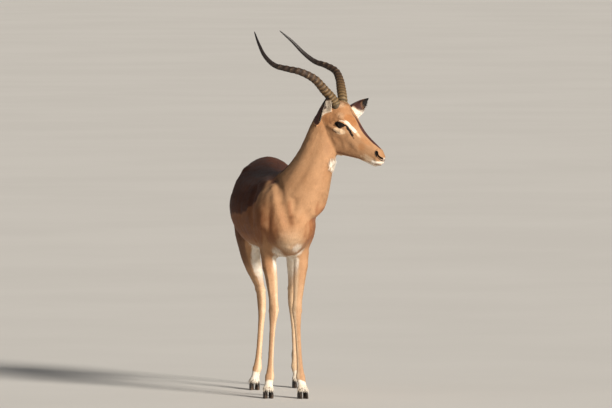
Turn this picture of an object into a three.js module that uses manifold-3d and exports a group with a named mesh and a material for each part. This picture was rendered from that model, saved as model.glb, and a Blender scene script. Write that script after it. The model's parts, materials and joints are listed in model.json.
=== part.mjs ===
// A life-size impala ram of the black-faced race, standing still with his head turned to his left.
//
// Millimetres, +Z up. He faces -Y, and +X is his left. The origin is on the ground, under the
// middle of the whole figure. Each part of the body is a loft: rings of named half-widths strung
// along a path, closed at both ends. Neighbours are cut clear of each other by GAP.

import * as THREE from "three";
import { mergeVertices } from "three/addons/utils/BufferGeometryUtils.js";
import Module from "manifold-3d";

// ---------------------------------------------------------------- driving dimensions

const SHOULDER_HEIGHT = 880; // ground to withers
const GAP = 0.35; // clearance between neighbouring parts
const HEAD_TURN = 56.5; // degrees that the head is turned to his left
const HEAD_PITCH = 29; // degrees that the head's own axis dips
const BROW = [232, -385, 1073]; // the point midway between the eyes
const EYE_RADIUS = 18;
const EYE_APART = 52; // each eye's centre from the middle of the head
const HORN_BASE_RADIUS = 17.8;
const HORN_RINGS = 16; // raised rings on each horn
const EAR_LENGTH = 156;
const EAR_HALF_WIDTH = 35;
const EAR_WALL = 5;
const KNEE_CUT = 386; // heights at which the legs are parted
const HOCK_CUT = 404;
const PASTERN_CUT = 99;
const HOOF_HEIGHT = 41;

const wasm = await Module();
wasm.setup();
const { Manifold, Mesh } = wasm;

// ---------------------------------------------------------------- lofting

const radians = THREE.MathUtils.degToRad;

// Rows of numbers become named rings.
const ringsOf = (names, table) =>
  table.map((row) => Object.fromEntries(names.map((name, i) => [name, row[i]])));

// A smooth curve through four values, between the middle two.
function catmull(a, b, c, d, t) {
  return b + 0.5 * t * (c - a + t * (2 * a - 5 * b + 4 * c - d + t * (3 * (b - c) + d - a)));
}

// The ring at a place from 0, the first row, to 1, the last.
function ringAt(rows, place) {
  const last = rows.length - 1;
  const at = Math.min(place * last, last - 1e-9);
  const i = Math.floor(at);
  const near = [i - 1, i, i + 1, i + 2].map((k) => rows[Math.min(Math.max(k, 0), last)]);
  const ring = {};
  for (const key of Object.keys(rows[0])) ring[key] = catmull(...near.map((r) => r[key]), at - i);
  return ring;
}

// A ring's cosine or sine, squared off as its power rises over 2.
const squared = (v, power) => Math.sign(v) * Math.abs(v) ** (2 / power);

// One ring as points. Its plane holds the sideways direction, turned by yaw, and the upward one,
// which leans backwards by tilt: 0 is an upright ring, and 90 one that lies flat.
function ringPoints(ring, sides, grow) {
  const { x = 0, y = 0, z = 0, yaw = 0, tilt = 0, power = 2, belly = 2 } = ring;
  const turn = radians(yaw);
  const lean = radians(tilt);
  const across = new THREE.Vector3(Math.cos(turn), Math.sin(turn), 0);
  const up = new THREE.Vector3(
    -Math.sin(turn) * Math.sin(lean),
    Math.cos(turn) * Math.sin(lean),
    Math.cos(lean),
  );
  return Array.from({ length: sides }, (_, i) => {
    const angle = (2 * Math.PI * i) / sides;
    const above = Math.sin(angle) >= 0;
    const n = above ? power : belly;
    return new THREE.Vector3(x, y, z)
      .addScaledVector(across, squared(Math.cos(angle), n) * (ring.side + grow))
      .addScaledVector(up, squared(Math.sin(angle), n) * ((above ? ring.up : ring.down) + grow));
  });
}

// A closed geometry over rings of points, each with the same number of points.
function closeOver(rings) {
  const sides = rings[0].length;
  const middle = (ring) =>
    ring.reduce((sum, p) => sum.add(p), new THREE.Vector3()).divideScalar(sides);
  const points = [...rings.flat(), middle(rings[0]), middle(rings.at(-1))];
  const first = points.length - 2;
  const index = [];
  for (let i = 0; i < sides; i++) {
    const j = (i + 1) % sides;
    index.push(first, j, i);
    index.push(first + 1, (rings.length - 1) * sides + i, (rings.length - 1) * sides + j);
    for (let r = 0; r < rings.length - 1; r++) {
      const [a, b] = [r * sides + i, r * sides + j];
      index.push(a, b, a + sides, b, b + sides, a + sides);
    }
  }
  return new THREE.BufferGeometry().setFromPoints(points).setIndex(index);
}

function loft(rows, { count, sides = 12, grow = 0, from = 0, to = 1 }) {
  const rings = Array.from({ length: count }, (_, i) =>
    ringPoints(ringAt(rows, from + ((to - from) * i) / (count - 1)), sides, grow),
  );
  if (grow > 0) {
    for (const [end, next] of [[rings[0], rings[1]], [rings.at(-1), rings.at(-2)]]) {
      const way = end[0].clone().sub(next[0]).normalize().multiplyScalar(grow);
      end.forEach((p) => p.add(way));
    }
  }
  return solid(closeOver(rings));
}

// ---------------------------------------------------------------- solids

// A closed geometry as a solid, placed by a matrix. Inside-out ones are turned.
function solid(geometry, matrix = new THREE.Matrix4()) {
  const bare = geometry.clone().applyMatrix4(matrix);
  for (const name of Object.keys(bare.attributes))
    if (name !== "position") bare.deleteAttribute(name);
  const merged = mergeVertices(bare, 1e-3);
  const triVerts = new Uint32Array(merged.index.array);
  const vertProperties = new Float32Array(merged.attributes.position.array);
  const made = new Manifold(new Mesh({ numProp: 3, vertProperties, triVerts }));
  if (made.volume() > 0) return made;
  for (let i = 0; i < triVerts.length; i += 3)
    [triVerts[i + 1], triVerts[i + 2]] = [triVerts[i + 2], triVerts[i + 1]];
  return new Manifold(new Mesh({ numProp: 3, vertProperties, triVerts }));
}

// The largest piece of what is left of a solid once others are cut away.
function without(body, ...others) {
  const left = others.reduce((rest, other) => rest.subtract(other), body);
  return left.decompose().sort((a, b) => b.volume() - a.volume())[0];
}

function geometryOf(manifold) {
  const { numProp, vertProperties, triVerts } = manifold.getMesh();
  const positions = new Float32Array((vertProperties.length / numProp) * 3);
  for (let i = 0; i < positions.length / 3; i++)
    positions.set(vertProperties.subarray(i * numProp, i * numProp + 3), i * 3);
  const geometry = new THREE.BufferGeometry()
    .setAttribute("position", new THREE.BufferAttribute(positions, 3))
    .setIndex(new THREE.BufferAttribute(new Uint32Array(triVerts), 1));
  geometry.computeVertexNormals();
  return geometry;
}

// ---------------------------------------------------------------- trunk, neck and tail

const TRUNK = ringsOf(
  ["y", "x", "z", "side", "up", "down", "power", "belly"],
  [
    [-420, 14, 656, 22, 28, 28, 2, 2],
    [-402, 14, 664, 62, 80, 66, 2, 2],
    [-360, 14, 678, 92, 140, 108, 2, 2],
    [-300, 12, 696, 106, 172, 145, 1.9, 2],
    [-220, 6, 706, 116, SHOULDER_HEIGHT - 706, 161, 1.8, 2],
    [-140, -2, 711, 128, 168, 166, 1.8, 2],
    [-60, -8, 718, 142, 152, 170, 1.9, 2],
    [20, -13, 725, 156, 147, 171, 2, 2],
    [100, -15, 730, 162, 150, 170, 2, 2],
    [180, -12, 742, 155, 158, 160, 2, 2],
    [250, -6, 760, 138, 161, 140, 2, 2],
    [310, 0, 783, 118, 136, 118, 2, 2],
    [360, 4, 804, 92, 97, 105, 2, 2],
    [400, 6, 808, 58, 60, 84, 2, 2],
    [418, 6, 808, 22, 24, 36, 2, 2],
  ],
);

const NECK = ringsOf(
  ["x", "y", "z", "yaw", "tilt", "side", "up", "down"],
  [
    [16, -190, 738, 0, 30, 84, 108, 115],
    [51, -285, 788, 8, 44, 109, 142, 142],
    [79, -312, 842, 20, 55, 95, 112, 120],
    [105, -328, 904, 32, 62, 75, 90, 94],
    [130, -336, 966, 42, 66, 64, 78, 78],
    [150, -338, 1026, 50, 62, 57, 72, 70],
    [166, -342, 1076, 55, 50, 47, 60, 62],
    [185, -352, 1101, 56, 45, 34, 45, 45],
  ],
);

const TAIL = ringsOf(
  ["z", "x", "y", "side", "up", "down", "tilt"],
  [
    [884, 6, 392, 16, 12, 12, 60],
    [862, 6, 414, 18, 13, 13, 75],
    [818, 6, 430, 19, 13, 12, 90],
    [758, 6, 434, 22, 14, 12, 90],
    [698, 6, 434, 25, 16, 13, 90],
    [638, 6, 430, 23, 15, 13, 90],
    [588, 6, 427, 15, 11, 10, 90],
    [563, 6, 426, 6, 5, 5, 90],
  ],
);

// ---------------------------------------------------------------- legs

// Half-widths by height, with down to the front and up to the back, round the leg's centre line.
const FORELEG = [
  [862, 10, 24, 24],
  [816, 24, 56, 55],
  [756, 36, 85, 78],
  [696, 42, 95, 85],
  [636, 40, 78, 85],
  [586, 35, 54, 66],
  [546, 32.5, 40, 48],
  [518, 31, 34, 40],
  [473, 26.5, 28, 31],
  [428, 22.5, 24, 25],
  [388, 19.5, 21, 21],
  [358, 20.5, 22, 20],
  [334, 20, 21.5, 20],
  [308, 17, 17.5, 18.5],
  [280, 14, 14.5, 16.5],
  [220, 12.2, 13, 15],
  [150, 12.2, 12.6, 15],
  [112, 14.5, 14, 18],
  [80, 19, 17, 22],
  [60, 17, 16, 18],
  [HOOF_HEIGHT + GAP, 18, 22, 17],
];

const HIND_LEG = [
  [884, 18, 30, 30],
  [841, 42, 75, 74],
  [781, 56, 100, 104],
  [716, 62, 115, 114],
  [656, 60, 112, 108],
  [606, 55, 98, 94],
  [561, 46, 74, 76],
  [516, 40, 52, 56],
  [466, 33, 38, 44],
  [428, 24, 29, 38],
  [396, 20, 26, 36],
  [364, 19.5, 27, 35],
  [336, 18.5, 25, 28],
  [308, 17, 21, 22],
  [280, 14.5, 17, 18],
  [225, 13, 14.5, 16],
  [150, 12.6, 13.5, 16],
  [112, 15, 15, 19],
  [84, 19, 17.5, 22],
  [60, 17, 16.5, 17],
  [HOOF_HEIGHT + GAP, 18, 22, 16],
];

// Where each leg's centre line passes, as height, x and y.
const LEG_PATHS = {
  foreleg_right: [
    [862, -40, -215], [816, -60, -228], [756, -75, -250], [676, -78, -272], [576, -62, -250], [518, -57, -258],
    [473, -51, -268], [428, -47, -276], [348, -42, -286], [293, -46, -284], [246, -49, -283],
    [166, -53, -282], [78, -58, -282], [HOOF_HEIGHT, -66, -300],
  ],
  foreleg_left: [
    [862, 50, -215], [816, 68, -228], [756, 81, -250], [676, 84, -276], [576, 68, -258], [518, 66, -268],
    [473, 59.5, -280], [428, 55, -290], [348, 46.5, -304], [293, 47.5, -308], [247, 49.4, -310],
    [167, 54, -312], [78, 60, -314], [HOOF_HEIGHT, 65, -332],
  ],
  hind_leg_right: [
    [884, -58, 282], [781, -74, 285], [656, -82, 268], [561, -80, 246], [504, -71, 250],
    [467, -58, 262], [440, -48, 276], [415, -38, 290], [388, -29, 302], [348, -25, 310],
    [308, -24, 307], [213, -33, 285], [134, -41, 268], [74, -49, 256], [HOOF_HEIGHT, -61, 242],
  ],
  hind_leg_left: [
    [884, 70, 285], [781, 86, 285], [656, 96, 282], [561, 102, 268], [516, 108, 282],
    [466, 109, 312], [421, 107, 348], [378, 105.5, 378], [347, 106, 386], [308, 108, 388],
    [213, 114, 377], [134, 115, 366], [80, 117, 359], [HOOF_HEIGHT, 121, 344],
  ],
};

// A number that changes with height, read from rows whose first entry is the height.
function byHeight(rows, z, column) {
  const i = Math.max(0, rows.findIndex((row) => row[0] <= z) - 1);
  const at = (rows[i][0] - z) / (rows[i][0] - rows[i + 1][0]);
  const near = [i - 1, i, i + 1, i + 2].map(
    (k) => rows[Math.min(Math.max(k, 0), rows.length - 1)][column],
  );
  return catmull(...near, at);
}

function legRows(widths, path) {
  return widths.map(([z, side, front, back]) => ({
    x: byHeight(path, z, 1),
    y: byHeight(path, z, 2),
    z,
    tilt: 90,
    side,
    down: front,
    up: back,
  }));
}

// The part of a leg between two heights, with flat ends.
function legPiece(rows, top, bottom, { count, sides, grow = 0 }) {
  const places = rows.map((row) => [row.z]);
  const placeOf = (z) => {
    const i = Math.max(0, places.findIndex(([height]) => height <= z) - 1);
    return (i + (rows[i].z - z) / (rows[i].z - rows[i + 1].z)) / (rows.length - 1);
  };
  return loft(rows, { count, sides, grow, from: placeOf(top), to: placeOf(bottom) });
}

// One claw of a cloven hoof: pointed in front, flat underneath.
function claw(x, y, outward, foot) {
  const height = HOOF_HEIGHT;
  const rows = ringsOf(
    ["z", "side", "up", "down", "y"],
    [
      [height, 8, 14, 13, 2],
      [height * 0.72, 9, 15, 22, 0],
      [height * 0.35, 9.6, 16, 32, -1],
      [3, 9.8, 17, 40, -2],
      [0, 9.3, 16, 39, -2],
    ],
  ).map((row) => ({ ...row, tilt: 90, belly: 1.55, power: 2.3 }));
  const turn = new THREE.Matrix4()
    .makeTranslation(x + outward * 11.3, y, 0)
    .multiply(new THREE.Matrix4().makeRotationZ(radians(foot + outward * 3)));
  return loft(rows, { count: 5, sides: 10 }).transform(turn.toArray());
}

// ---------------------------------------------------------------- head

// Everything on the head is made in its own frame: the origin midway between the eyes, -Y to the
// muzzle, +X to the left and +Z to the crown. A ring's top and bottom are heights in that frame.
const HEAD = ringsOf(
  ["y", "top", "bottom", "z", "side", "power", "belly"],
  [
    [124, 6, -46, -18, 13, 2, 2],
    [112, 30, -66, -14, 29, 2, 2],
    [90, 52, -92, -10, 41, 2, 2],
    [60, 66, -114, -4, 50, 2, 1.9],
    [30, 66, -128, 2, 56, 2.1, 1.8],
    [0, 51, -132, 2, 56, 2.2, 1.8],
    [-25, 40, -128, -8, 49, 2.2, 1.8],
    [-50, 27, -119, -22, 42, 2.2, 1.9],
    [-80, 13, -108, -36, 36, 2.3, 2],
    [-110, 3, -98, -43, 32, 2.4, 2],
    [-140, -4, -90, -46, 30, 2.4, 2],
    [-166, -9, -89, -47, 29.5, 2.4, 2],
    [-186, -16, -84, -48, 28.5, 2.3, 2.1],
    [-200, -27, -76, -50, 24, 2.1, 2],
    [-209, -40, -66, -53, 12, 2, 2],
  ],
).map(({ top, bottom, ...ring }) => ({ ...ring, up: top - ring.z, down: ring.z - bottom }));

// Each horn's middle line. The two differ a little, as grown horns do.
const HORN_PATHS = {
  left: [
    [22, 48, 38],
    [27, 67, 59],
    [69.5, 115, 85],
    [116, 161.5, 103.5],
    [150.5, 207.5, 113],
    [164.7, 260, 107],
    [169, 310, 95.5],
    [159, 364.5, 103],
    [138.5, 423, 123.5],
    [109, 477.5, 141],
  ],
  right: [
    [-24, 52, 38],
    [-33, 73, 57],
    [-75, 112, 85.5],
    [-117.3, 158, 113.9],
    [-151.6, 206.3, 117.9],
    [-164.1, 258.9, 102.4],
    [-168.7, 310.2, 88.7],
    [-160, 366.7, 95.6],
    [-137.4, 424.5, 118.4],
    [-111.5, 476.2, 143.9],
  ],
};

// A horn's radius along its length: even over its first fifth, then tapering to the tip.
function hornRadius(along) {
  const taper = Math.min(1, 1.175 - 0.975 * along - 0.11 * along ** 14);
  return Math.max(1.6, HORN_BASE_RADIUS * taper);
}

// How far along a horn its rings reach, and how far they stand out.
const RINGED_SHARE = 0.68;
const RING_HEIGHT = 0.09;

function horn(path) {
  const points = path.map((point) => new THREE.Vector3(...point));
  const curve = new THREE.CatmullRomCurve3(points, false, "centripetal");
  const frames = curve.computeFrenetFrames(200, false);
  const ringed = Array.from({ length: HORN_RINGS * 2 + 1 }, (_, i) => ({
    along: (RINGED_SHARE * i) / (HORN_RINGS * 2),
    ridge: i % 2 ? 1 + RING_HEIGHT : 1,
  }));
  const plain = [0.73, 0.79, 0.85, 0.91, 0.96, 1].map((along) => ({ along, ridge: 1 }));
  const sides = 8;
  const rings = [...ringed, ...plain].map(({ along, ridge }) => {
    const at = curve.getPointAt(along);
    const k = Math.round(along * 200);
    const radius = hornRadius(along) * ridge;
    return Array.from({ length: sides }, (_, i) => {
      const angle = (2 * Math.PI * i) / sides;
      return at
        .clone()
        .addScaledVector(frames.normals[k], radius * Math.cos(angle))
        .addScaledVector(frames.binormals[k], radius * Math.sin(angle));
    });
  });
  return solid(closeOver(rings));
}

// An ear: a leaf rolled into a cup. It stands along its axis, and its hollow faces its opening.
function ear(base, axis, opening) {
  const along = new THREE.Vector3(...axis).normalize();
  const open = new THREE.Vector3(...opening);
  open.addScaledVector(along, -open.dot(along)).normalize();
  const across = new THREE.Vector3().crossVectors(along, open);
  const steps = 7;
  const spans = 6;
  const wall = (inner) =>
    Array.from({ length: steps + 1 }, (_, i) => {
      const s = i / steps;
      const leaf = Math.sin(Math.PI * (0.16 + 0.84 * s) ** 1.15) ** 0.8;
      const halfWidth = Math.max(3, EAR_HALF_WIDTH * leaf);
      const curl = radians(118 - 62 * s);
      const radius = halfWidth / Math.sin(Math.min(curl, Math.PI / 2));
      const thick = Math.min(EAR_WALL, radius * 0.6) * (1 - 0.35 * s);
      return Array.from({ length: spans + 1 }, (_, j) => {
        const angle = curl * ((2 * j) / spans - 1);
        const r = radius - (inner ? thick : 0);
        return new THREE.Vector3(...base)
          .addScaledVector(along, EAR_LENGTH * s)
          .addScaledVector(across, r * Math.sin(angle))
          .addScaledVector(open, radius - r * Math.cos(angle) + 9 * s * s);
      });
    });
  // Each ring runs along the outer wall and back along the inner one.
  const inner = wall(true);
  return solid(closeOver(wall(false).map((outer, i) => [...outer, ...inner[i].reverse()])));
}

// ---------------------------------------------------------------- putting him together

const headPlace = new THREE.Matrix4()
  .makeTranslation(...BROW)
  .multiply(new THREE.Matrix4().makeRotationZ(radians(HEAD_TURN)))
  .multiply(new THREE.Matrix4().makeRotationX(radians(HEAD_PITCH)));
const onHead = (made) => made.transform(headPlace.toArray());

const solids = {};

const headShape = (grow = 0) => onHead(loft(HEAD, { count: 22, sides: 20, grow }));
const eyeBall = (grow = 0) => solid(new THREE.IcosahedronGeometry(EYE_RADIUS + grow, 2));
for (const [name, side] of [["left", 1], ["right", -1]]) {
  solids[`eye_${name}`] = onHead(eyeBall().translate([side * (EYE_APART - 11), 0, 0]));
}
const sockets = [1, -1].map((side) =>
  onHead(eyeBall(GAP).translate([side * (EYE_APART - 11), 0, 0])),
);
solids.head = without(headShape(), ...sockets);

const headGrown = headShape(GAP);
solids.horn_left = without(onHead(horn(HORN_PATHS.left)), headGrown);
solids.horn_right = without(onHead(horn(HORN_PATHS.right)), headGrown);
const neckShape = (grow = 0) => loft(NECK, { count: 12, sides: 18, grow });
const skull = [headGrown, neckShape(GAP)];
solids.ear_left = without(onHead(ear([48, 73, -18], [0.69, -0.23, 0.7], [-0.35, -1, 0.2])), ...skull);
solids.ear_right = without(onHead(ear([-45, 111, -48.5], [-0.467, -0.172, 0.867], [-0.18, -0.94, 0.32])), ...skull);

const pieceDetail = { count: 11, sides: 12 };
const legs = {};
for (const [name, path] of Object.entries(LEG_PATHS)) {
  const fore = name.startsWith("fore");
  const rows = legRows(fore ? FORELEG : HIND_LEG, path);
  const [top, joint] = fore ? [846, KNEE_CUT] : [868, HOCK_CUT];
  legs[name] = legPiece(rows, top, joint, pieceDetail);
  legs[`${name}_grown`] = legPiece(rows, top, joint, { ...pieceDetail, grow: GAP });
  solids[`${name}_cannon`] = legPiece(rows, joint - GAP, PASTERN_CUT, { count: 10, sides: 10 });
  solids[`${name}_pastern`] = legPiece(rows, PASTERN_CUT - GAP, HOOF_HEIGHT + GAP, { count: 4, sides: 10 });
  const [, x, y] = path.at(-1);
  const splay = x > 0 ? 4 : -4;
  solids[`${name}_claw_outer`] = claw(x, y, Math.sign(x), splay);
  solids[`${name}_claw_inner`] = claw(x, y, -Math.sign(x), splay);
  solids[name] = legs[name];
}

const legsGrown = Object.keys(LEG_PATHS).map((name) => legs[`${name}_grown`]);
solids.neck = without(neckShape(), headGrown, ...legsGrown.slice(0, 2));
solids.trunk = without(loft(TRUNK, { count: 20, sides: 24 }), neckShape(GAP), ...legsGrown);
solids.tail = without(
  loft(TAIL, { count: 13, sides: 12 }),
  loft(TRUNK, { count: 20, sides: 24, grow: GAP }),
  ...legsGrown.slice(2),
);

// ---------------------------------------------------------------- colours

const paint = (color, roughness) => new THREE.MeshStandardMaterial({ color, roughness, metalness: 0 });
const COAT = paint(0xb98457, 0.85);
const PALE_COAT = paint(0xd6ab7c, 0.85);
const HORN = paint(0x4a3524, 0.55);
const HOOF = paint(0x241f1c, 0.5);
const EYE = paint(0x120c09, 0.15);

function paintFor(name) {
  if (name.startsWith("horn")) return HORN;
  if (name.startsWith("eye")) return EYE;
  if (name.includes("claw")) return HOOF;
  if (/cannon|pastern/.test(name)) return PALE_COAT;
  return COAT;
}

const impala = new THREE.Group();
for (const [name, made] of Object.entries(solids)) {
  const mesh = new THREE.Mesh(geometryOf(made), paintFor(name));
  mesh.name = name;
  impala.add(mesh);
}

// The figure is centred over the origin.
const reach = new THREE.Box3().setFromObject(impala);
const middle = reach.getCenter(new THREE.Vector3());
impala.position.set(-middle.x, -middle.y, 0);

export default impala;
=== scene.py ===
"""A life-size impala ram of the black-faced race, standing with its head turned to its left.

One skin covers all its flesh, and a coat of solid tufts lies over it. Eyes, horns and claws are
pieces of their own. Sizes in the modelling steps are millimetres in its drawing frame: it faces
-Y, +X is its left, and the ground is at Z 0. Finished meshes are in metres in the row frame.
"""

import json
import math

import bmesh
import bpy
import numpy as np
from mathutils import Matrix, Vector
from mathutils.bvhtree import BVHTree

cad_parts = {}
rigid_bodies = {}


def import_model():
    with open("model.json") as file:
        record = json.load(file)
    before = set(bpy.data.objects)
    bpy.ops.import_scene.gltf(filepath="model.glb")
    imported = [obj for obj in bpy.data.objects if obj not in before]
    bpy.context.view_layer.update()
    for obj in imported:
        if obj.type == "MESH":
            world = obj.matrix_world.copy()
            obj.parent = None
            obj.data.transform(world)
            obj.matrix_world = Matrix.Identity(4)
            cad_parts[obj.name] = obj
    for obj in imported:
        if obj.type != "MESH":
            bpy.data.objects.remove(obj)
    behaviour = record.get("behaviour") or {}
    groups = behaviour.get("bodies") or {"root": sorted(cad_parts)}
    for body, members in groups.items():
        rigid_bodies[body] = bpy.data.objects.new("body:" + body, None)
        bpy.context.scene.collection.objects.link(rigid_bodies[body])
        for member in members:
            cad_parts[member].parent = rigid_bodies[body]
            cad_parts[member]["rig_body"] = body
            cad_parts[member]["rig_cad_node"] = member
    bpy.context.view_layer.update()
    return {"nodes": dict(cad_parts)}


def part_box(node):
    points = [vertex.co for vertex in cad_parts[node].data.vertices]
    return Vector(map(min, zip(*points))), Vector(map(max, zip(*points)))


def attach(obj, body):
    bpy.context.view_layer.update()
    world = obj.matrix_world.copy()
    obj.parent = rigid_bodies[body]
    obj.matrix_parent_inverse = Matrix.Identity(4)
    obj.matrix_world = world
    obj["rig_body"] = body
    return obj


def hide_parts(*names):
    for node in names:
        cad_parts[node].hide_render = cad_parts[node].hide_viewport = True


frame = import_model()

MM = 0.001
chance = np.random.default_rng(2306)

# ---------------------------------------------------------------- where its parts are

BROW = np.array([232.0, -385.0, 1073.0])  # midway between the eyes
HEAD_TURN = 56.5
HEAD_PITCH = 29.0
EYE_SIDE = 41.0  # each eyeball's centre from the middle of the head
EYE_RADIUS = 18.0  # of the hollow that the lids lie round

HEAD_AXES = np.array(
    Matrix.Rotation(math.radians(HEAD_TURN), 3, "Z") @ Matrix.Rotation(math.radians(HEAD_PITCH), 3, "X")
)
NECK_CUT = (np.array([125.0, -331.0, 953.0]), np.array([0.314, -0.348, 0.883]))
NECK_SIDE = np.array([0.743, 0.669, 0.0])  # across the neck, to its left
NECK_BACK = np.array([-0.591, 0.656, 0.469])  # out of the nape
LEG_CUT = 466.0
THROAT = (-20, -37, -153)  # the middle of the white patch, in the head's frame
THROAT_REACH = (1.25, 0.9, 0.98)

ZONES = ("trunk", "neck", "head", "ear_left", "ear_right", "tail",
         "foreleg_right", "foreleg_left", "hind_leg_right", "hind_leg_left")
TRUNK, NECK, HEAD, EAR_L, EAR_R, TAIL, FORE_R, FORE_L, HIND_R, HIND_L = range(10)
LEGS = (FORE_R, FORE_L, HIND_R, HIND_L)
SIDE_OF = {FORE_R: -1, FORE_L: 1, HIND_R: -1, HIND_L: 1}


def middle_of(node):
    low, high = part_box(node)
    return np.array((low + high) / 2)


# From the row frame to the drawing frame.
SHIFT = BROW - (middle_of("eye_left") + middle_of("eye_right")) / 2 / MM


def drawn(co):
    """Row-frame metres to drawing millimetres."""
    return co / MM + SHIFT


def placed(co):
    """Drawing millimetres to row-frame metres."""
    return (co - SHIFT) * MM


def on_head(co):
    """Drawing millimetres to the head's frame: -Y to the muzzle, +X to its left, +Z to the crown."""
    return (co - BROW) @ HEAD_AXES


def off_head(co):
    return np.asarray(co, float) @ HEAD_AXES.T + BROW


def step(low, high, value):
    """0 below low, 1 above high, and a smooth rise between them."""
    t = np.clip((value - low) / (high - low), 0, 1)
    return t * t * (3 - 2 * t)


def fall(low, high, value):
    return 1 - step(low, high, value)


def curve(value, points):
    """Reads a value off a line of (value, result) points."""
    return np.interp(value, *np.transpose(points))


def unit(v):
    return v / np.maximum(np.linalg.norm(v, axis=-1, keepdims=True), 1e-9)


def distance(points, at, reach=(1, 1, 1)):
    """How far points lie from a place, in shares of a reach along each axis."""
    return np.linalg.norm((points - at) / reach, axis=1)


def belongs(share, *zones):
    """How far each vertex belongs to any of some zones."""
    return share[:, list(zones)].sum(1)


def along_line(points, line):
    """For each point, its distance from a line of points and how far along the line it is."""
    line = np.asarray(line, float)
    best = np.full(len(points), 1e9)
    where = np.zeros(len(points))
    runs = np.linalg.norm(np.diff(line, axis=0), axis=1)
    start = np.concatenate([[0], np.cumsum(runs)])
    for k, (a, b) in enumerate(zip(line[:-1], line[1:])):
        d = b - a
        t = np.clip(((points - a) @ d) / (d @ d), 0, 1)
        gap = np.linalg.norm(points - (a + t[:, None] * d), axis=1)
        nearer = gap < best
        best[nearer] = gap[nearer]
        where[nearer] = (start[k] + t * runs[k])[nearer] / start[-1]
    return best, where


# ---------------------------------------------------------------- small modelling helpers


def deselect():
    if bpy.context.object and bpy.context.object.mode != "OBJECT":
        bpy.ops.object.mode_set(mode="OBJECT")
    bpy.ops.object.select_all(action="DESELECT")


def choose(*objects):
    deselect()
    for o in objects:
        o.select_set(True)
    bpy.context.view_layer.objects.active = objects[0]
    return objects[0]


def editing(o):
    choose(o)
    bpy.ops.object.mode_set(mode="EDIT")
    bpy.ops.mesh.select_all(action="SELECT")


def places(o):
    co = np.empty(len(o.data.vertices) * 3, np.float32)
    o.data.vertices.foreach_get("co", co)
    return co.reshape(-1, 3).astype(float)


def set_places(o, co):
    o.data.vertices.foreach_set("co", co.astype(np.float32).ravel())
    o.data.update()


def facing(o):
    n = np.empty(len(o.data.vertices) * 3, np.float32)
    o.data.vertex_normals.foreach_get("vector", n)
    return n.reshape(-1, 3).astype(float)


def edges_of(o):
    e = np.empty(len(o.data.edges) * 2, np.int32)
    o.data.edges.foreach_get("vertices", e)
    return e.reshape(-1, 2)


def apply(o, kind, **settings):
    choose(o)
    m = o.modifiers.new(kind.lower(), kind)
    for key, value in settings.items():
        setattr(m, key, value)
    bpy.ops.object.modifier_apply(modifier=m.name)


def merged_copy(names, label):
    """One closed copy of some CAD nodes, with their doubles merged."""
    copies = []
    for name in names:
        c = frame["nodes"][name].copy()
        c.data = c.data.copy()
        c.parent = None
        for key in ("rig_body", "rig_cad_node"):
            del c[key]
        bpy.context.scene.collection.objects.link(c)
        copies.append(c)
    choose(*copies)
    if len(copies) > 1:
        bpy.ops.object.join()
    whole = bpy.context.object
    whole.name = label
    editing(whole)
    bpy.ops.mesh.remove_doubles(threshold=1e-5)
    bpy.ops.mesh.normals_make_consistent(inside=False)
    deselect()
    return whole


def wear(o, finish):
    """Gives a piece one finish."""
    o.data.materials.clear()
    o.data.materials.append(finish)
    return o


def twin(o, label):
    c = o.copy()
    c.data = o.data.copy()
    c.name = label
    bpy.context.scene.collection.objects.link(c)
    return c


def cut(o, point, normal, keep_above, fill=False):
    """Cuts a mesh by a plane, given in drawing millimetres, and keeps one side."""
    editing(o)
    bpy.ops.mesh.bisect(
        plane_co=Vector(placed(np.asarray(point, float))), plane_no=Vector(normal),
        use_fill=fill, clear_inner=keep_above, clear_outer=not keep_above,
    )
    deselect()


def refine(o, wanted):
    """Halves the faces whose middles are wanted."""
    count = len(o.data.polygons)
    middle = np.empty(count * 3, np.float32)
    o.data.polygons.foreach_get("center", middle)
    chosen = wanted(drawn(middle.reshape(-1, 3).astype(float)))
    editing(o)
    bpy.ops.mesh.select_all(action="DESELECT")
    deselect()
    o.data.polygons.foreach_set("select", chosen)
    choose(o)
    bpy.ops.object.mode_set(mode="EDIT")
    bpy.ops.mesh.select_mode(type="FACE")
    bpy.ops.mesh.subdivide(number_cuts=1)
    bpy.ops.mesh.select_all(action="DESELECT")
    bpy.ops.mesh.select_face_by_sides(number=4, type="GREATER")
    bpy.ops.mesh.quads_convert_to_tris()
    deselect()


# ---------------------------------------------------------------- the skin

ZONE_SPREAD = 8  # rounds of mixing over the borders of the zones
GAP_CLOSED = 0.45  # how far each node is swollen, to close the cuts between them
HEAD_GRAIN, LEG_GRAIN, TRUNK_GRAIN = 2.1, 3.2, 6.2  # the size of the faces cast round each
FLESH = [n for n in frame["nodes"] if not n.startswith(("eye", "horn")) and "claw" not in n]


def zone_of_node(name):
    for k, zone in enumerate(ZONES):
        if name.startswith(zone):
            return k
    return HEAD


def flesh_tree():
    """A search tree over the flesh nodes, and the zone of each of its triangles."""
    points, faces, zones = [], [], []
    for name in FLESH + ["eye_left", "eye_right"]:
        mesh = frame["nodes"][name].data
        base = len(points)
        points += [v.co[:] for v in mesh.vertices]
        mesh.calc_loop_triangles()
        for t in mesh.loop_triangles:
            faces.append([base + i for i in t.vertices])
            zones.append(zone_of_node(name))
    return BVHTree.FromPolygons(points, faces), np.array(zones)


def bridge_between(o, centre, reach):
    """Joins the two open rims that lie near a place."""
    choose(o)
    bpy.ops.object.mode_set(mode="EDIT")
    bpy.ops.mesh.select_mode(type="EDGE")
    bpy.ops.mesh.select_all(action="DESELECT")
    mesh = bmesh.from_edit_mesh(o.data)
    middle = Vector(placed(np.asarray(centre, float)))
    for e in mesh.edges:
        if e.is_boundary and all((v.co - middle).length < reach * MM for v in e.verts):
            e.select_set(True)
    bmesh.update_edit_mesh(o.data)
    bpy.ops.mesh.bridge_edge_loops()
    deselect()


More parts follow.
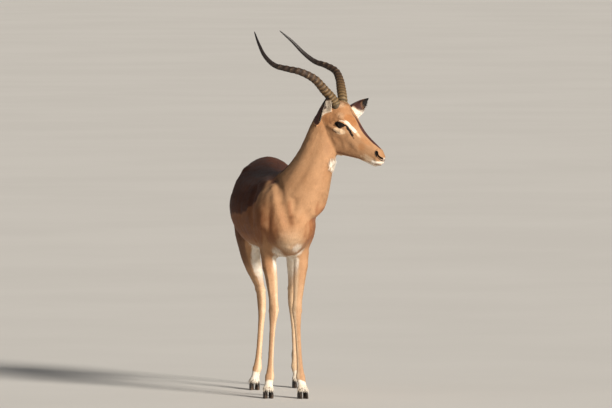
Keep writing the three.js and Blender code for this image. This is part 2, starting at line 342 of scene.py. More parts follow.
def cast_skin():
    """One closed mesh round all the flesh, coarse on the trunk and finest on the head."""
    whole = merged_copy(FLESH + ["eye_left", "eye_right"], "flesh")
    set_places(whole, places(whole) + facing(whole) * GAP_CLOSED * MM)
    point, way = NECK_CUT

    head = twin(whole, "head_cast")
    cut(head, point - way * 26, way, True, fill=True)
    apply(head, "REMESH", mode="VOXEL", voxel_size=HEAD_GRAIN * MM)
    cut(head, point, way, True)

    legs = twin(whole, "leg_cast")
    cut(legs, (0, 0, LEG_CUT + 26), (0, 0, 1), False, fill=True)
    apply(legs, "REMESH", mode="VOXEL", voxel_size=LEG_GRAIN * MM)
    cut(legs, (0, 0, LEG_CUT), (0, 0, 1), False)

    apply(whole, "REMESH", mode="VOXEL", voxel_size=TRUNK_GRAIN * MM)
    cut(whole, point - way * 6, way, False)
    cut(whole, (0, 0, LEG_CUT + 6), (0, 0, 1), True)
    co = drawn(places(legs))
    rim = np.abs(co[:, 2] - LEG_CUT) < 1
    rims_at = [
        co[rim & (front * co[:, 1] < 0) & (s * co[:, 0] > s * between), :2].mean(0)
        for front, between in ((1, 5), (-1, 20))
        for s in (-1, 1)
    ]
    choose(whole, head, legs)
    bpy.ops.object.join()
    bridge_between(whole, point - way * 3, 130)
    for x, y in rims_at:
        bridge_between(whole, (x, y, LEG_CUT + 3), 56)
    editing(whole)
    bpy.ops.mesh.normals_make_consistent(inside=False)
    deselect()
    whole.name = "skin"
    whole.data.name = "skin"
    return whole


def zone_shares(o, tree, zones):
    """How far each vertex belongs to each zone, mixed a little over the borders."""
    co = places(o)
    share = np.zeros((len(co), len(ZONES)))
    share[np.arange(len(co)), [zones[tree.find_nearest(Vector(p))[2]] for p in co]] = 1
    a, b = edges_of(o).T
    degree = degrees(a, b, len(co))
    for _ in range(ZONE_SPREAD):
        share = 0.5 * share + 0.5 * mean_of_neighbours(share, a, b, degree)
    return share


def degrees(a, b, count):
    """How many edges meet at each vertex."""
    return np.maximum(np.bincount(a, minlength=count) + np.bincount(b, minlength=count), 1)


def mean_of_neighbours(x, a, b, degree):
    n = len(degree)
    columns = [np.bincount(a, x[b, k], n) + np.bincount(b, x[a, k], n) for k in range(x.shape[1])]
    return np.stack(columns, 1) / degree[:, None]


def soften(co, a, b, degree, rounds):
    """Evens out facets finer than a number of rounds reaches, and gives back the broader form."""

    def spread(x):
        x = x.copy()
        for i in range(int(rounds.max())):
            weight = 0.5 * np.clip(rounds - i, 0, 1)[:, None]
            x += weight * (mean_of_neighbours(x, a, b, degree) - x)
        return x

    smooth = spread(co)
    return smooth + spread(co - smooth)


class Body:
    """The skin's vertices while it is being shaped, in drawing millimetres."""

    def __init__(self, o, share):
        self.o = o
        self.co = drawn(places(o))
        self.n = facing(o)
        self.share = share
        self.lift = np.zeros(len(self.co))

    def swell(self, centre, reach, height, only):
        """A rounded swelling, or a hollow where height is below 0."""
        d = (((self.co - np.asarray(centre, float)) / np.asarray(reach, float)) ** 2).sum(1)
        self.lift += height * (np.clip(1 - d, 0, 1) ** 2 * only)

    def ridge(self, line, width, height, only, fade=0.15):
        """A rounded ridge, or a groove where height is below 0, fading at its ends."""
        gap, where = along_line(self.co, line)
        ends = step(0, fade, where) * step(0, fade, 1 - where) if fade else 1
        self.lift += height * (np.clip(1 - (gap / width) ** 2, 0, 1) ** 2 * ends * only)

    def form(self, forms, only, place=tuple):
        """Adds a table of forms: a tuple is the middle of a swelling, a list the line of a ridge."""
        for at, reach, height, *fade in forms:
            if isinstance(at, tuple):
                self.swell(place(at), reach, height, only)
            else:
                self.ridge([place(p) for p in at], reach, height, only, *fade)

    def settle(self):
        """Moves the vertices by what the swellings and grooves add up to."""
        self.co = self.co + self.n * self.lift[:, None]
        self.lift[:] = 0
        set_places(self.o, placed(self.co))
        self.n = facing(self.o)


def leg_lines(co, share):
    """Each leg's middle and half-widths at heights 10 mm apart, read from the skin itself."""
    lines = {}
    for leg in LEGS:
        mine = co[share[:, leg] > 0.5]
        rows = []
        for z in range(50, 780, 10):
            ring = mine[np.abs(mine[:, 2] - z) < 7]
            if len(ring) > 6:
                low, high = ring.min(0), ring.max(0)
                rows.append([z, *((low + high) / 2)[:2], *((high - low) / 2)[:2]])
        lines[leg] = np.array(rows)
    return lines


def leg_at(lines, leg, z):
    """(x, y, half-width sideways, half-width front to back) of a leg at a height."""
    rows = lines[leg]
    return [np.interp(z, rows[:, 0], rows[:, k]) for k in range(1, 5)]


def rib(k):
    """The groove behind one rib."""
    y = -95 + 42 * k
    return [(96, y - 10, 845), (150, y + 8, 760), (150, y - 8, 670), (112, y - 34, 606)], 13, -1.3


# Each form has its place, its reach and its height. Those of a side are on both sides.
TRUNK_SIDE_FORMS = (
    # shoulder blade, the hollow behind it, and the point of the shoulder
    ((84, -178, 846), (56, 96, 50), 11),
    ([(60, -185, 852), (92, -225, 780), (112, -285, 712)], 34, 2.5),
    ([(84, -128, 842), (122, -160, 745), (124, -195, 650)], 34, -6),
    ([(68, -292, 824), (70, -330, 750), (72, -350, 690), (72, -352, 640)], 26, 4),
    ((92, -362, 655), (46, 48, 48), 5),
    # upper arm and elbow
    ((116, -236, 648), (44, 62, 64), 8),
    ([(112, -330, 655), (110, -290, 610), (92, -262, 570)], 20, -5),
    ((84, -200, 552), (26, 28, 28), 8),
    ((96, -160, 590), (40, 34, 36), -6),
    *(rib(k) for k in range(6)),
    # hollows of the flank, point of the hip, and the fold to the thigh
    ((140, 158, 800), (46, 54, 56), -9),
    ((138, 176, 660), (40, 46, 60), -6),
    ((96, 205, 872), (36, 38, 32), 8),
    ([(132, 140, 600), (118, 168, 640), (120, 196, 690)], 18, 5),
    # thigh and buttock
    ((122, 290, 740), (44, 58, 76), 6),
    ([(104, 352, 820), (118, 340, 720), (112, 322, 620)], 17, -4.5),
    ((94, 374, 700), (40, 34, 86), 5),
    ((60, 398, 836), (24, 26, 26), 6),
    ([(124, 236, 850), (128, 236, 770), (124, 214, 690)], 22, -3.5),
)
TRUNK_FORMS = (
    # the grooves of the neck's base, meeting over the breastbone
    ([(-32, -225, 868), (-32, -308, 844), (-30, -354, 807), (-24, -385, 765), (-10, -408, 720),
      (4, -420, 672), (11, -420, 646)], 30, -10),
    ([(27, -393, 792), (24, -396, 757), (19, -410, 715)], 20, -4),
    ([(128, -305, 830), (108, -352, 782), (82, -388, 735), (52, -411, 695), (26, -420, 660)], 20, -4),
    ((132, -384, 762), (44, 40, 56), -8),
    ((44, -412, 724), (34, 40, 52), 4),
    # breastbone and the muscle on each side of it
    ([(12, -400, 604), (6, -340, 562), (0, -270, 545)], 28, 3),
    ((-36, -322, 566), (22, 40, 26), 4),
    ((36, -346, 566), (22, 40, 26), 4),
    # sheath and scrotum
    ([(-14, 70, 556), (-13, 128, 556)], 20, 9, 0.35),
    ((2, 268, 600), (26, 30, 30), 12),
    # spine
    ([(0, -150, 880), (-12, 40, 874), (-10, 200, 905)], 30, 2.5),
    ([(-6, 230, 915), (2, 350, 895)], 34, 2),
)


def shape_trunk(body):
    """Shoulder, ribs, flank, hip, thigh, chest and the base of the neck."""
    trunk_like = 1 - body.share[:, HEAD] - body.share[:, EAR_L] - body.share[:, EAR_R]
    for s in (-1, 1):
        body.form(TRUNK_SIDE_FORMS, trunk_like, lambda p: (s * p[0], p[1], p[2]))
    body.form(TRUNK_FORMS, trunk_like)


NECK_SPINE = ((60, -292, 800), (92, -322, 872), (118, -332, 935), (140, -337, 996), (160, -340, 1050))
# Along each side of the neck: out, back, how it tapers up the spine, width and height.
NECK_CORDS = (
    (66, -26, (1.25, 1.15, 1, 0.95, 0.9), 20, -2.2),
    (60, 14, (1.4, 1.25, 1.05, 1, 0.9), 26, 2),
    (44, 52, (1.3, 1.15, 1, 0.95, 0.9), 18, -1.5),
)
WINDPIPE_TAPER = (1.5, 1.25, 1.05, 0.98, 0.9)


def shape_neck(body):
    neck_like = body.share[:, NECK] + 0.6 * body.share[:, HEAD]
    way = NECK_CUT[1]
    spine = [np.array(p, float) for p in NECK_SPINE]
    for s in (-1, 1):
        for out, back, taper, width, height in NECK_CORDS:
            line = [p + NECK_SIDE * s * out * k + NECK_BACK * back for p, k in zip(spine, taper)]
            body.ridge(line, width, height, neck_like)
    windpipe = [p - NECK_BACK * 74 * k for p, k in zip(spine, WINDPIPE_TAPER)]
    body.ridge(windpipe, 22, 3.5, neck_like)
    # folds on the side that the head turns to
    for k, height in ((0.0, -2.2), (1.0, -2.0), (2.0, -1.6)):
        c = spine[3] - way * (34 * k - 10)
        fold = [
            c + NECK_SIDE * 66 - NECK_BACK * 30,
            c + NECK_SIDE * 72 + NECK_BACK * 4 - way * 6,
            c + NECK_SIDE * 50 + NECK_BACK * 42 - way * 2,
        ]
        body.ridge(fold, 7, height, neck_like)


# A place on a leg is its height, then shares of the half-widths: 1 is the outer or front face,
# and -1 the inner or back one.
FORELEG_FORMS = (
    # knee
    ((352, 0, 1), (18, 14, 22), 2.4),
    ((366, 0, -1), (12, 12, 14), 5),
    ((340, 1, 0.1), (10, 14, 14), 1.6),
    ((340, -1, 0.1), (10, 14, 14), 1.6),
    # forearm
    ([(500, 0.9, -0.35), (420, 0.95, -0.3), (385, 0.9, -0.3)], 9, -2.4),
    ([(520, 0.6, 0.9), (450, 0.6, 0.9), (395, 0.6, 0.8)], 9, 2),
    ((500, 0.6, -0.6), (22, 26, 44), 4),
)
HIND_LEG_FORMS = (
    # the string above the hock, with a hollow before it
    ([(540, 1, -0.25), (486, 1, -0.28), (440, 0.9, -0.2)], 13, -6),
    ([(540, -1, -0.25), (486, -1, -0.28), (440, -0.9, -0.2)], 13, -6),
    ([(560, 0.7, -0.75), (500, 0, -1), (430, 0, -1)], 9, 3),
    # hock
    ((412, 0, -1), (14, 14, 18), 5),
    ((392, 1, 0.2), (10, 15, 18), 2.4),
    ((392, -1, 0.2), (10, 15, 18), 2.4),
    # knee and shin
    ((590, 0.6, 0.9), (34, 30, 34), 5),
    ((560, 0.2, 1), (20, 20, 26), -3),
    ([(530, 0.5, 1), (440, 0.3, 1)], 12, 2.4),
)


def cannon_forms(groove, tendon):
    """The grooves and the tendon below the knee or hock, the fetlock and the cleft of the foot."""
    return (
        ([(groove, 1, -0.22), (230, 1, -0.22), (128, 1, -0.22)], 5.5, -2.1),
        ([(groove, -1, -0.22), (230, -1, -0.22), (128, -1, -0.22)], 5.5, -2.1),
        ([(tendon, 0, -1), (220, 0, -1), (125, 0, -1)], 7, 1.4),
        ((86, 1, 0.1), (11, 16, 16), 1.8),
        ((90, 0.6, -0.9), (9, 12, 13), 2.4),
        ((86, -1, 0.1), (11, 16, 16), 1.8),
        ((90, -0.6, -0.9), (9, 12, 13), 2.4),
        ((66, 0, -1), (14, 12, 14), -2.4),
        ([(76, 0, 1), (44, 0, 1.1)], 5, -1.6, 0),
    )


def shape_legs(body, lines):
    for leg, s in SIDE_OF.items():

        def place(p):
            z, out, front = p
            x, y, wide, deep = leg_at(lines, leg, z)
            return (x + s * out * wide, y - front * deep, z)

        fore = leg in (FORE_R, FORE_L)
        body.form(FORELEG_FORMS if fore else HIND_LEG_FORMS, body.share[:, leg], place)
        body.form(cannon_forms(320, 318) if fore else cannon_forms(338, 330), body.share[:, leg], place)


# ---------------------------------------------------------------- the face, in the head's frame

TILT = math.radians(19)
EYE_MIDDLE = (2.6, -3.2)  # of the opening, as y and z
EYE_HALF = 20.5
LID_RISE, LID_DROP = 6.4, 10.2

NOSTRIL = [(24.4, -177, -25.5), (26.5, -182, -31.5), (26, -188, -35.5), (23.5, -195, -37.6),
           (16.9, -203, -39.6), (10.5, -207, -42.4)]
MOUTH = [(31, -132, -83), (28.5, -150, -80), (28, -170, -76.5), (26, -186, -71), (20, -199, -66.5),
         (10, -207, -63), (0, -210, -62)]
LIP_CLEFT = [(0, -206, -44), (0, -210, -50), (0, -209, -60)]

HEAD_SIDE_FORMS = (
    # brow, temple, cheekbone, cheek and the corner of the jaw
    ([(50, 24, 20), (50, 2, 22), (44, -20, 16)], 12, 3),
    ((52, 48, 8), 26, -2.5),
    ([(48, -22, -24), (53, 8, -29), (53, 52, -34)], 12, 3.6),
    ((50, 34, -84), (24, 44, 40), 6),
    ([(40, 58, -112), (42, 34, -124), (36, -10, -126)], 12, 3),
    # hollow of the cheek, crest of the face, side of the nose, and the hollow before the eye
    ([(46, 0, -52), (44, -28, -70), (38, -52, -92)], 18, -1.6),
    ([(42, -36, -30), (36, -80, -46), (31, -112, -58)], 17, 1.6),
    ((38, -66, -64), (22, 38, 24), -2.2),
    ([(24, -60, 10), (22, -110, -10), (20, -150, -18)], 11, -1.6),
    ((42, -38, -8), (16, 24, 16), -1.4),
    # upper lip, wing of the nostril, and lower lip
    ((27, -190, -50), (12, 20, 14), 3),
    ((22, -178, -16), (10, 16, 9), 2.4),
    ((30, -150, -84), (10, 18, 10), 1.8),
    ((20, -176, -84), (12, 20, 9), 1.6),
    # the root of the horn
    ((26, 48, 56), (26, 30, 24), 4),
)
HEAD_FORMS = (
    # bridge of the nose, crown, forehead, between the jaws, and chin
    ([(0, -40, 32), (0, -100, 8), (0, -160, -8)], 13, 1.6),
    ((0, 26, 66), (20, 34, 18), 3),
    ((0, -8, 48), (22, 22, 16), -2),
    ([(0, -40, -122), (0, -130, -92)], 15, -6),
    ((0, -188, -86), (18, 18, 10), 2.4),
    # the roots of the ears
    ((46, 78, -26), 32, 4),
    ((-42, 98, -48), 32, 4),
)


def eye_places(q):
    """Across and up from the middle of the eye's opening, and how far outside it, in mm."""
    y, z = q[:, 1] - EYE_MIDDLE[0], q[:, 2] - EYE_MIDDLE[1]
    a = -y * math.cos(TILT) + z * math.sin(TILT)
    b = y * math.sin(TILT) + z * math.cos(TILT)
    span = np.clip(1 - (a / EYE_HALF) ** 2, 0, None)
    edge = np.where(b > 0, LID_RISE * span**0.6, LID_DROP * span)
    outside = np.abs(b) - edge
    beyond = np.maximum(np.abs(a) - EYE_HALF, 0)
    return a, b, np.where(beyond > 0, np.hypot(beyond, b), outside * 0.85)


def mirrored(q):
    """The head's two sides folded together."""
    return np.stack([np.abs(q[:, 0]), q[:, 1], q[:, 2]], 1)


def shape_head(body):
    head_like = body.share[:, HEAD]
    for s in (-1, 1):
        body.form(HEAD_SIDE_FORMS, head_like, lambda p: off_head((s * p[0], p[1], p[2])))
    body.form(HEAD_FORMS, head_like, off_head)
    body.settle()

    folded = mirrored(on_head(body.co))
    gap, where = along_line(folded, NOSTRIL)
    rim = np.clip(1 - ((gap - 5.5) / 4.0) ** 2, 0, 1) * 1.7
    body.lift += rim * (gap > 1.5)
    body.lift -= 11 * np.clip(1 - (gap / (3.6 + 1.6 * np.sin(math.pi * where))) ** 2, 0, 1)
    gap, where = along_line(folded, MOUTH)
    body.lift -= 3.6 * np.clip(1 - (gap / 2.8) ** 2, 0, 1) * step(0, 0.12, where)
    body.lift += 1.5 * np.clip(1 - ((gap - 6) / 4.5) ** 2, 0, 1) * step(0, 0.2, where)
    gap, _ = along_line(folded, LIP_CLEFT)
    body.lift -= 1.6 * np.clip(1 - (gap / 2.6) ** 2, 0, 1)
    body.settle()


def open_eyes(body):
    """Lids round each eyeball: the skin dives behind the ball inside the opening."""
    q = on_head(body.co)
    for s in (-1, 1):
        ball = np.array([s * EYE_SIDE, 0, 0])
        rel = q - ball
        out = np.linalg.norm(rel, axis=1)
        near = (out < 46) & (s * rel[:, 0] > 3) & (body.share[:, HEAD] > 0.5)
        _, b, outside = eye_places(q)
        way = rel / np.maximum(out, 1e-6)[:, None]
        upper = b > 0
        lid = EYE_RADIUS + np.where(upper, 3.1, 2.4) - 1.1 * np.clip(1 - ((outside - 5.5) / 2.2) ** 2, 0, 1)
        lid = lid + np.where(upper, 0.9, 0.5) * np.clip(1 - ((outside - 1.8) / 1.8) ** 2, 0, 1)
        settle = step(2.5, 15, outside)
        outer = lid * (1 - settle) + out * settle
        inner = EYE_RADIUS - 3.2
        gate = step(-1.3, 0.1, outside)
        target = inner * (1 - gate) + outer * gate
        target = np.where(near, target, out)
        q = np.where(near[:, None], ball + way * target[:, None], q)
    body.co = off_head(q)
    body.settle()


# ---------------------------------------------------------------- ears

EAR_LENGTH = 156.0
EAR_HALF_WIDTH = 35.0


class Ear:
    """A leaf rolled into a cup: places on it run along it, across it, and inside or outside."""

    def __init__(self, base, axis, opening):
        self.base = np.array(base, float)
        self.along = unit(np.array(axis, float))
        opening = np.array(opening, float)
        self.open = unit(opening - self.along * (opening @ self.along))
        self.across = np.cross(self.along, self.open)

    def read(self, q, n):
        """Share along (0 root, 1 tip), share across (-1 to 1) and how far it faces into the cup."""
        rel = q - self.base
        s = np.clip(rel @ self.along / EAR_LENGTH, 0, 1)
        leaf = np.sin(math.pi * (0.16 + 0.84 * s) ** 1.15).clip(0.001) ** 0.8
        half = np.maximum(3, EAR_HALF_WIDTH * leaf)
        curl = np.radians(118 - 62 * s)
        radius = half / np.sin(np.minimum(curl, math.pi / 2))
        hub = rel - self.along * (rel @ self.along)[:, None] - self.open * (radius + 9 * s * s)[:, None]
        angle = np.arctan2(hub @ self.across, -(hub @ self.open))
        inward = -(unit(hub) * n).sum(1)
        return s, np.clip(angle / curl, -1.2, 1.2), inward


EARS = {
    EAR_L: Ear((48, 73, -18), (0.69, -0.23, 0.7), (-0.35, -1, 0.2)),
    EAR_R: Ear((-45, 111, -48.5), (-0.467, -0.172, 0.867), (-0.18, -0.94, 0.32)),
}

# ---------------------------------------------------------------- markings


MARKS_A = ("saddle", "orange", "flank", "dark")
MARKS_B = ("cream", "white", "black", "bare")

# Heights along the body: the saddle's lower edge, brought low over the shoulders and flanks as painted
# shade, and the belly's upper one.
SADDLE_EDGE = ((-350, 888), (-300, 856), (-250, 806), (-200, 764), (-145, 738), (-100, 716), (0, 704),
               (180, 702), (280, 682), (400, 655))
BELLY_EDGE = ((-420, 560), (-340, 585), (-200, 575), (0, 588), (160, 592), (260, 620), (330, 640))
# How far each buttock's black line is from the tail's middle, at each height.
BUTTOCK_LINE = ((560, 52), (700, 62), (830, 64), (880, 44))
# The dark band down the nose: its half-width and its strength at each place along the face.
NOSE_BAND = ((-178, 3), (-165, 7), (-145, 10.5), (-100, 12), (-60, 12), (-45, 9.5), (-20, 6),
             (20, 4), (60, 3))
NOSE_BAND_STRENGTH = ((-60, 1), (-45, 0.8), (0, 0.45), (50, 0.3))
LIP_LINE = ((132, -83), (150, -80), (170, -76.5), (186, -71), (199, -66.5), (210, -62))
JAW_EDGE = ((-150, -86), (-30, -120), (40, -118))

# Mark, strength, place, full within, gone beyond, and reach along each axis.
FACE_SPOTS = (
    ("orange", 1, (34, -24, 30), 14, 40, (1, 1.2, 0.8)),
    # painted shade in the hollow of the cheek
    ("orange", 0.5, (31, -113, -38), 8, 28, (1, 1, 1)),
    ("orange", 0.5, (24, -118, -12), 10, 30, (0.6, 1.6, 0.6)),
    ("cream", 0.35, (51, 17, 28), 6, 24, (1, 1.4, 1)),
    ("cream", 0.6, (47, 76, -40), 8, 20, (1, 1, 1)),
    ("cream", 0.6, (53, 83, -61), 6, 16, (1, 1, 1)),
    ("cream", 0.45, (24, 47, 59), 12, 28, (1, 1, 1)),
    ("cream", 0.6, (25, -127, -73), 3, 9, (1, 1, 1)),
    ("bare", 0.6, (50.3, -17, -4), 1.5, 3.5, (1, 1, 1)),
    ("white", 0.7, (0, -209, -50), 10, 22, (1.4, 1, 1)),
    ("bare", 0.6, (0, -209, -45), 6, 10, (1.4, 1, 1)),
)
# Mark, strength, width, softness of the edge, line, and where along the face it sets in.
FACE_STRIPES = (
    # the pale streak over the eye, and on down the face
    ("white", 1, 3.0, 3, [(54.5, 7, 9), (53.4, 0.4, 12.5), (49.5, -9, 17)], None),
    ("white", 1, 6.2, 3.6, [(49, -14, 16.5), (44.7, -22.4, 15.5), (41.1, -34.4, 10), (36.3, -49.4, 5),
                            (32.5, -64.7, 0.7)], (-74, -60)),
    ("cream", 0.8, 5.2, 6, [(36.3, -49.4, 5.4), (32.5, -64.7, 0.7), (30.7, -76.4, -4.3), (29.4, -90, -8.5)],
     (-104, -74)),
    # below the lower lid
    ("dark", 0.8, 2.5, 3, [(53.4, 29.2, -28), (52.7, 16.5, -36.4), (51.4, 1.6, -39.5)], None),
    # the black line from the back of the eye, and the stripe from its front
    ("black", 0.9, 2.4, 3, [(55.5, 20, -8), (55.1, 28.5, -9.6)], None),
    ("black", 0.9, 3.0, 3, [(50, -15, 4), (48.4, -20.4, 4.5), (46.4, -28.4, 1.2)], None),
    ("black", 1, 4.9, 3, [(46.4, -28.4, 2.7), (45.1, -34.2, -3), (42.3, -43.6, -6.6), (40.7, -51.6, -12),
                          (38.8, -60, -17.5)], None),
    ("black", 0.55, 3.6, 3, [(38.8, -60, -17.5), (37.4, -69.6, -24.6)], None),
    # temple
    ("dark", 0.4, 5, 9, [(49.7, 58, 2.3), (51.8, 49.3, -10.5), (52.6, 39.4, -20.4)], None),
)
# Dark blotches in the right ear: place along and across it, and half-length and half-width.
EAR_BLOTCHES = ((0.47, 0.42, 0.10, 0.20), (0.62, 0.34, 0.07, 0.10), (0.33, 0.55, 0.10, 0.09))


def markings(co, n, share, lines):
    """How far each of eight marks shows at each vertex, from 0 to 1."""
    x, y, z = co.T
    grain = 5 * np.sin(x * 0.11 + y * 0.07) * np.sin(y * 0.093 + z * 0.05) + 3 * np.sin(z * 0.17 + x * 0.21)
    q = on_head(co)
    hn = n @ HEAD_AXES
    f = mirrored(q)
    side, fy, fz = f.T
    head, neck, trunk, tail = (share[:, k] for k in (HEAD, NECK, TRUNK, TAIL))
    ears = belongs(share, EAR_L, EAR_R)
    fore = belongs(share, FORE_R, FORE_L)
    hind = belongs(share, HIND_R, HIND_L)
    mark = {k: np.zeros(len(co)) for k in MARKS_A + MARKS_B}

    def put(name, amount):
        mark[name] = np.maximum(mark[name], np.clip(amount, 0, 1))

    # saddle over the back, rump and outer thighs, and the dark line of the nape. Over the shoulders the
    # saddle is painted shade.
    over = z - curve(y, SADDLE_EDGE) + grain
    put("saddle", step(-14, 16, over) * (trunk + hind + fore * step(-290, -190, y)))
    # the nape's darker hair, deepened as painted shade where it faces up and back, away from the light
    nape = n @ unit(NECK_BACK)
    high = step(960, 1040, z)
    put("dark", (0.5 + 0.35 * high) * step(0.66 - 0.06 * high, 0.86, nape) * neck)
    put("saddle", step(0.6, 0.86, nape) * (neck + head * step(60, 100, q[:, 1])))
    # where both meet, at the withers
    joined = (trunk + neck) * step(0.03, 0.25, np.minimum(trunk, neck))
    put("saddle", joined * step(0.42, 0.7, nape) * step(-14, 16, over))
    # painted shade in the grooves at the base of the neck, and in the hollow over the breastbone
    gap, _ = along_line(co, [(-30, -214, 867), (-30, -324, 833), (-31, -366, 788)])
    put("saddle", 0.55 * fall(2, 18, gap) * (trunk + neck))
    gap, _ = along_line(co, [(4, -397, 768), (8, -412, 715), (11, -416, 690)])
    put("flank", 0.6 * fall(4, 28, gap) * (trunk + neck))

    # reddish flanks, darkened by painted shade low on the flank, where the sides face sideways, and most on
    # the right side
    below = fall(-12, 14, over) * step(-215, -135, y + 0.3 * grain)
    put("flank", step(590, 620, z + grain) * below * trunk)
    # painted shade on the low flank
    put("saddle", 0.4 * step(600, 640, z + grain) * below * (trunk + 0.6 * hind))
    outer = step(0.4, 0.8, np.abs(n[:, 0])) * step(560, 640, z)
    base = 1 - step(690, 850, z + grain) * step(-150, -230, y)
    plain = (1 - head - ears - tail).clip(0, 1)
    # painted shade where the sides face sideways
    put("flank", 0.9 * outer * base * plain)
    # painted shade on the right side, away from the light
    put("flank", 0.42 * step(520, 640, z) * base * step(70, -30, x) * step(-180, -240, y) * plain)

    # belly and breast
    put("white", step(-12, 10, curve(y, BELLY_EDGE) - z + grain * 0.7) * trunk * step(-350, -300, y))
    for at in ((-35, -330, 576), (40, -380, 590)):
        put("white", 0.8 * fall(-4, 44, distance(co, at, (1, 1.3, 1)) + grain * 0.5))
    put("cream", 0.6 * trunk * fall(20, 95, np.abs(x - 12)) * fall(585, 730, z) * step(-320, -390, y))

    # the insides of the legs, and the gland tufts of the hind ones
    for leg, s in SIDE_OF.items():
        mine = share[:, leg]
        mid_x, mid_y, _, _ = leg_at(lines, leg, z)
        inner, back = -s * n[:, 0], n[:, 1]
        put("cream", mine * 0.35 * fall(420, 560, z))
        if leg in (FORE_R, FORE_L):
            put("white", mine * step(0.1, 0.7, inner) * step(430, 560, z))
            put("cream", mine * 0.85 * step(-0.2, 0.7, inner) * fall(480, 600, z))
            put("flank", mine * 0.4 * step(0.3, 0.9, -back) * fall(300, 420, z))
        else:
            thigh = step(360, 520, z) * fall(700, 780, z)
            put("white", mine * step(-0.15, 0.45, inner - 0.25 * back) * thigh)
            put("cream", mine * 0.85 * step(-0.3, 0.6, inner - 0.3 * back) * fall(460, 560, z))
            gland = np.stack([x - (mid_x - s * 7), (y - (mid_y + 15)) * 0.9, (z - 137) * 0.55], 1)
            gland = fall(11, 15, np.linalg.norm(gland, axis=1))
            put("black", mine * gland * step(-0.5, 0.1, back + 0.5 * inner))
            put("saddle", mine * 0.55 * step(0.2, 0.8, -inner) * step(430, 520, z) * fall(620, 720, z))
        put("white", mine * fall(62, 76, z + grain * 0.6))

    # rump: white beside the tail, with a black line down each buttock
    off = np.abs(x - 6)
    rear = step(0.15, 0.5, n[:, 1]) * step(320, 365, y) * (1 - tail)
    put("white", fall(46, 62, off + grain * 0.5) * rear * fall(868, 892, z))
    from_line = np.abs(off - curve(z, BUTTOCK_LINE)) + grain * 0.3
    put("black", fall(6, 12, from_line) * rear * step(575, 620, z) * fall(872, 886, z))
    pale = step(8, 13, off) + step(0.0, -0.4, n[:, 1]) * (z < 850) + fall(600, 640, z)
    put("white", tail * np.clip(pale, 0, 1) * fall(850, 880, z))
    put("black", tail * fall(5, 10, off) * step(-0.1, 0.4, n[:, 1]) * step(585, 620, z))
    put("saddle", tail * step(840, 880, z))

    # face
    put("orange", head * 0.45 * step(-20, 4, fz + 0.32 * fy + 6) * step(110, 60, q[:, 1]))
    for name, strength, at, low, high, reach in FACE_SPOTS:
        put(name, head * strength * fall(low, high, distance(f, at, reach)))
    for name, strength, width, soft, line, from_y in FACE_STRIPES:
        gap, _ = along_line(f, line)
        fade = step(*from_y, fy) if from_y else 1
        put(name, head * strength * fall(width - soft / 2, width + soft / 2, gap) * fade)
    ahead, rise = 0.96 * (fy + 8) - 0.27 * (fz + 27), 0.27 * (fy + 8) + 0.96 * (fz + 27)
    put("cream", head * 0.9 * fall(0.75, 1.2, np.hypot(ahead / 25, rise / 13)) * (side > 30))
    _, _, outside = eye_places(f)
    put("black", head * fall(2.8, 4.6, outside) * (side > 30))

    # the dark band down the nose, faint above the eyes
    width = curve(fy, NOSE_BAND)
    band = fall(width - 2.5, width + 3, side + grain * 0.15) * step(-186, -168, fy) * (fz > -40)
    put("dark", head * band * curve(fy, NOSE_BAND_STRENGTH))
    put("dark", head * 0.8 * step(90, 120, q[:, 1]) * (fz > -30))

    # nose, lips, chin and jaw
    flat = (0.4, 0.8, 1)
    gap, _ = along_line(f * flat, np.array(NOSTRIL) * flat)
    put("black", head * fall(4.8, 6.0, gap) * (fy < -160) * step(6, 9.5, side))
    put("cream", head * 0.7 * step(-118, -150, fy) * step(-44, -62, fz))
    gap, where = along_line(f, MOUTH)
    above = fz - curve(-fy, LIP_LINE)
    put("white", head * fall(10, 15, gap) * (above > 0) * step(0.3, 0.65, where))
    put("cream", head * fall(11, 19, gap) * (above > 0) * step(0.0, 0.25, where))
    put("white", head * fall(-4, 3, above) * step(-140, -158, fy) * step(0.35, 0.75, -hn[:, 2]))
    # painted shade on the lower lip, below the mouth line
    put("dark", head * 0.8 * fall(-2, 2, above) * fall(8, 15, gap) * step(0.1, 0.35, where))
    put("black", head * 0.85 * fall(1.5, 2.8, gap) * step(0.05, 0.25, where))
    # painted shade along the lower edge of the jaw, on its side
    jaw_shade = fall(3, 15, np.abs(fz - curve(fy, JAW_EDGE) - 5)) * step(8, 18, side)
    put("saddle", head * 0.5 * jaw_shade * step(20, -30, fy) * step(-160, -138, fy))
    put("cream", head * step(0.4, 0.85, -hn[:, 2]) * step(18, 8, side) * step(40, 0, fy))
    put("white", (neck + head) * fall(18, 30, distance(q, THROAT, THROAT_REACH) + grain * 0.15))

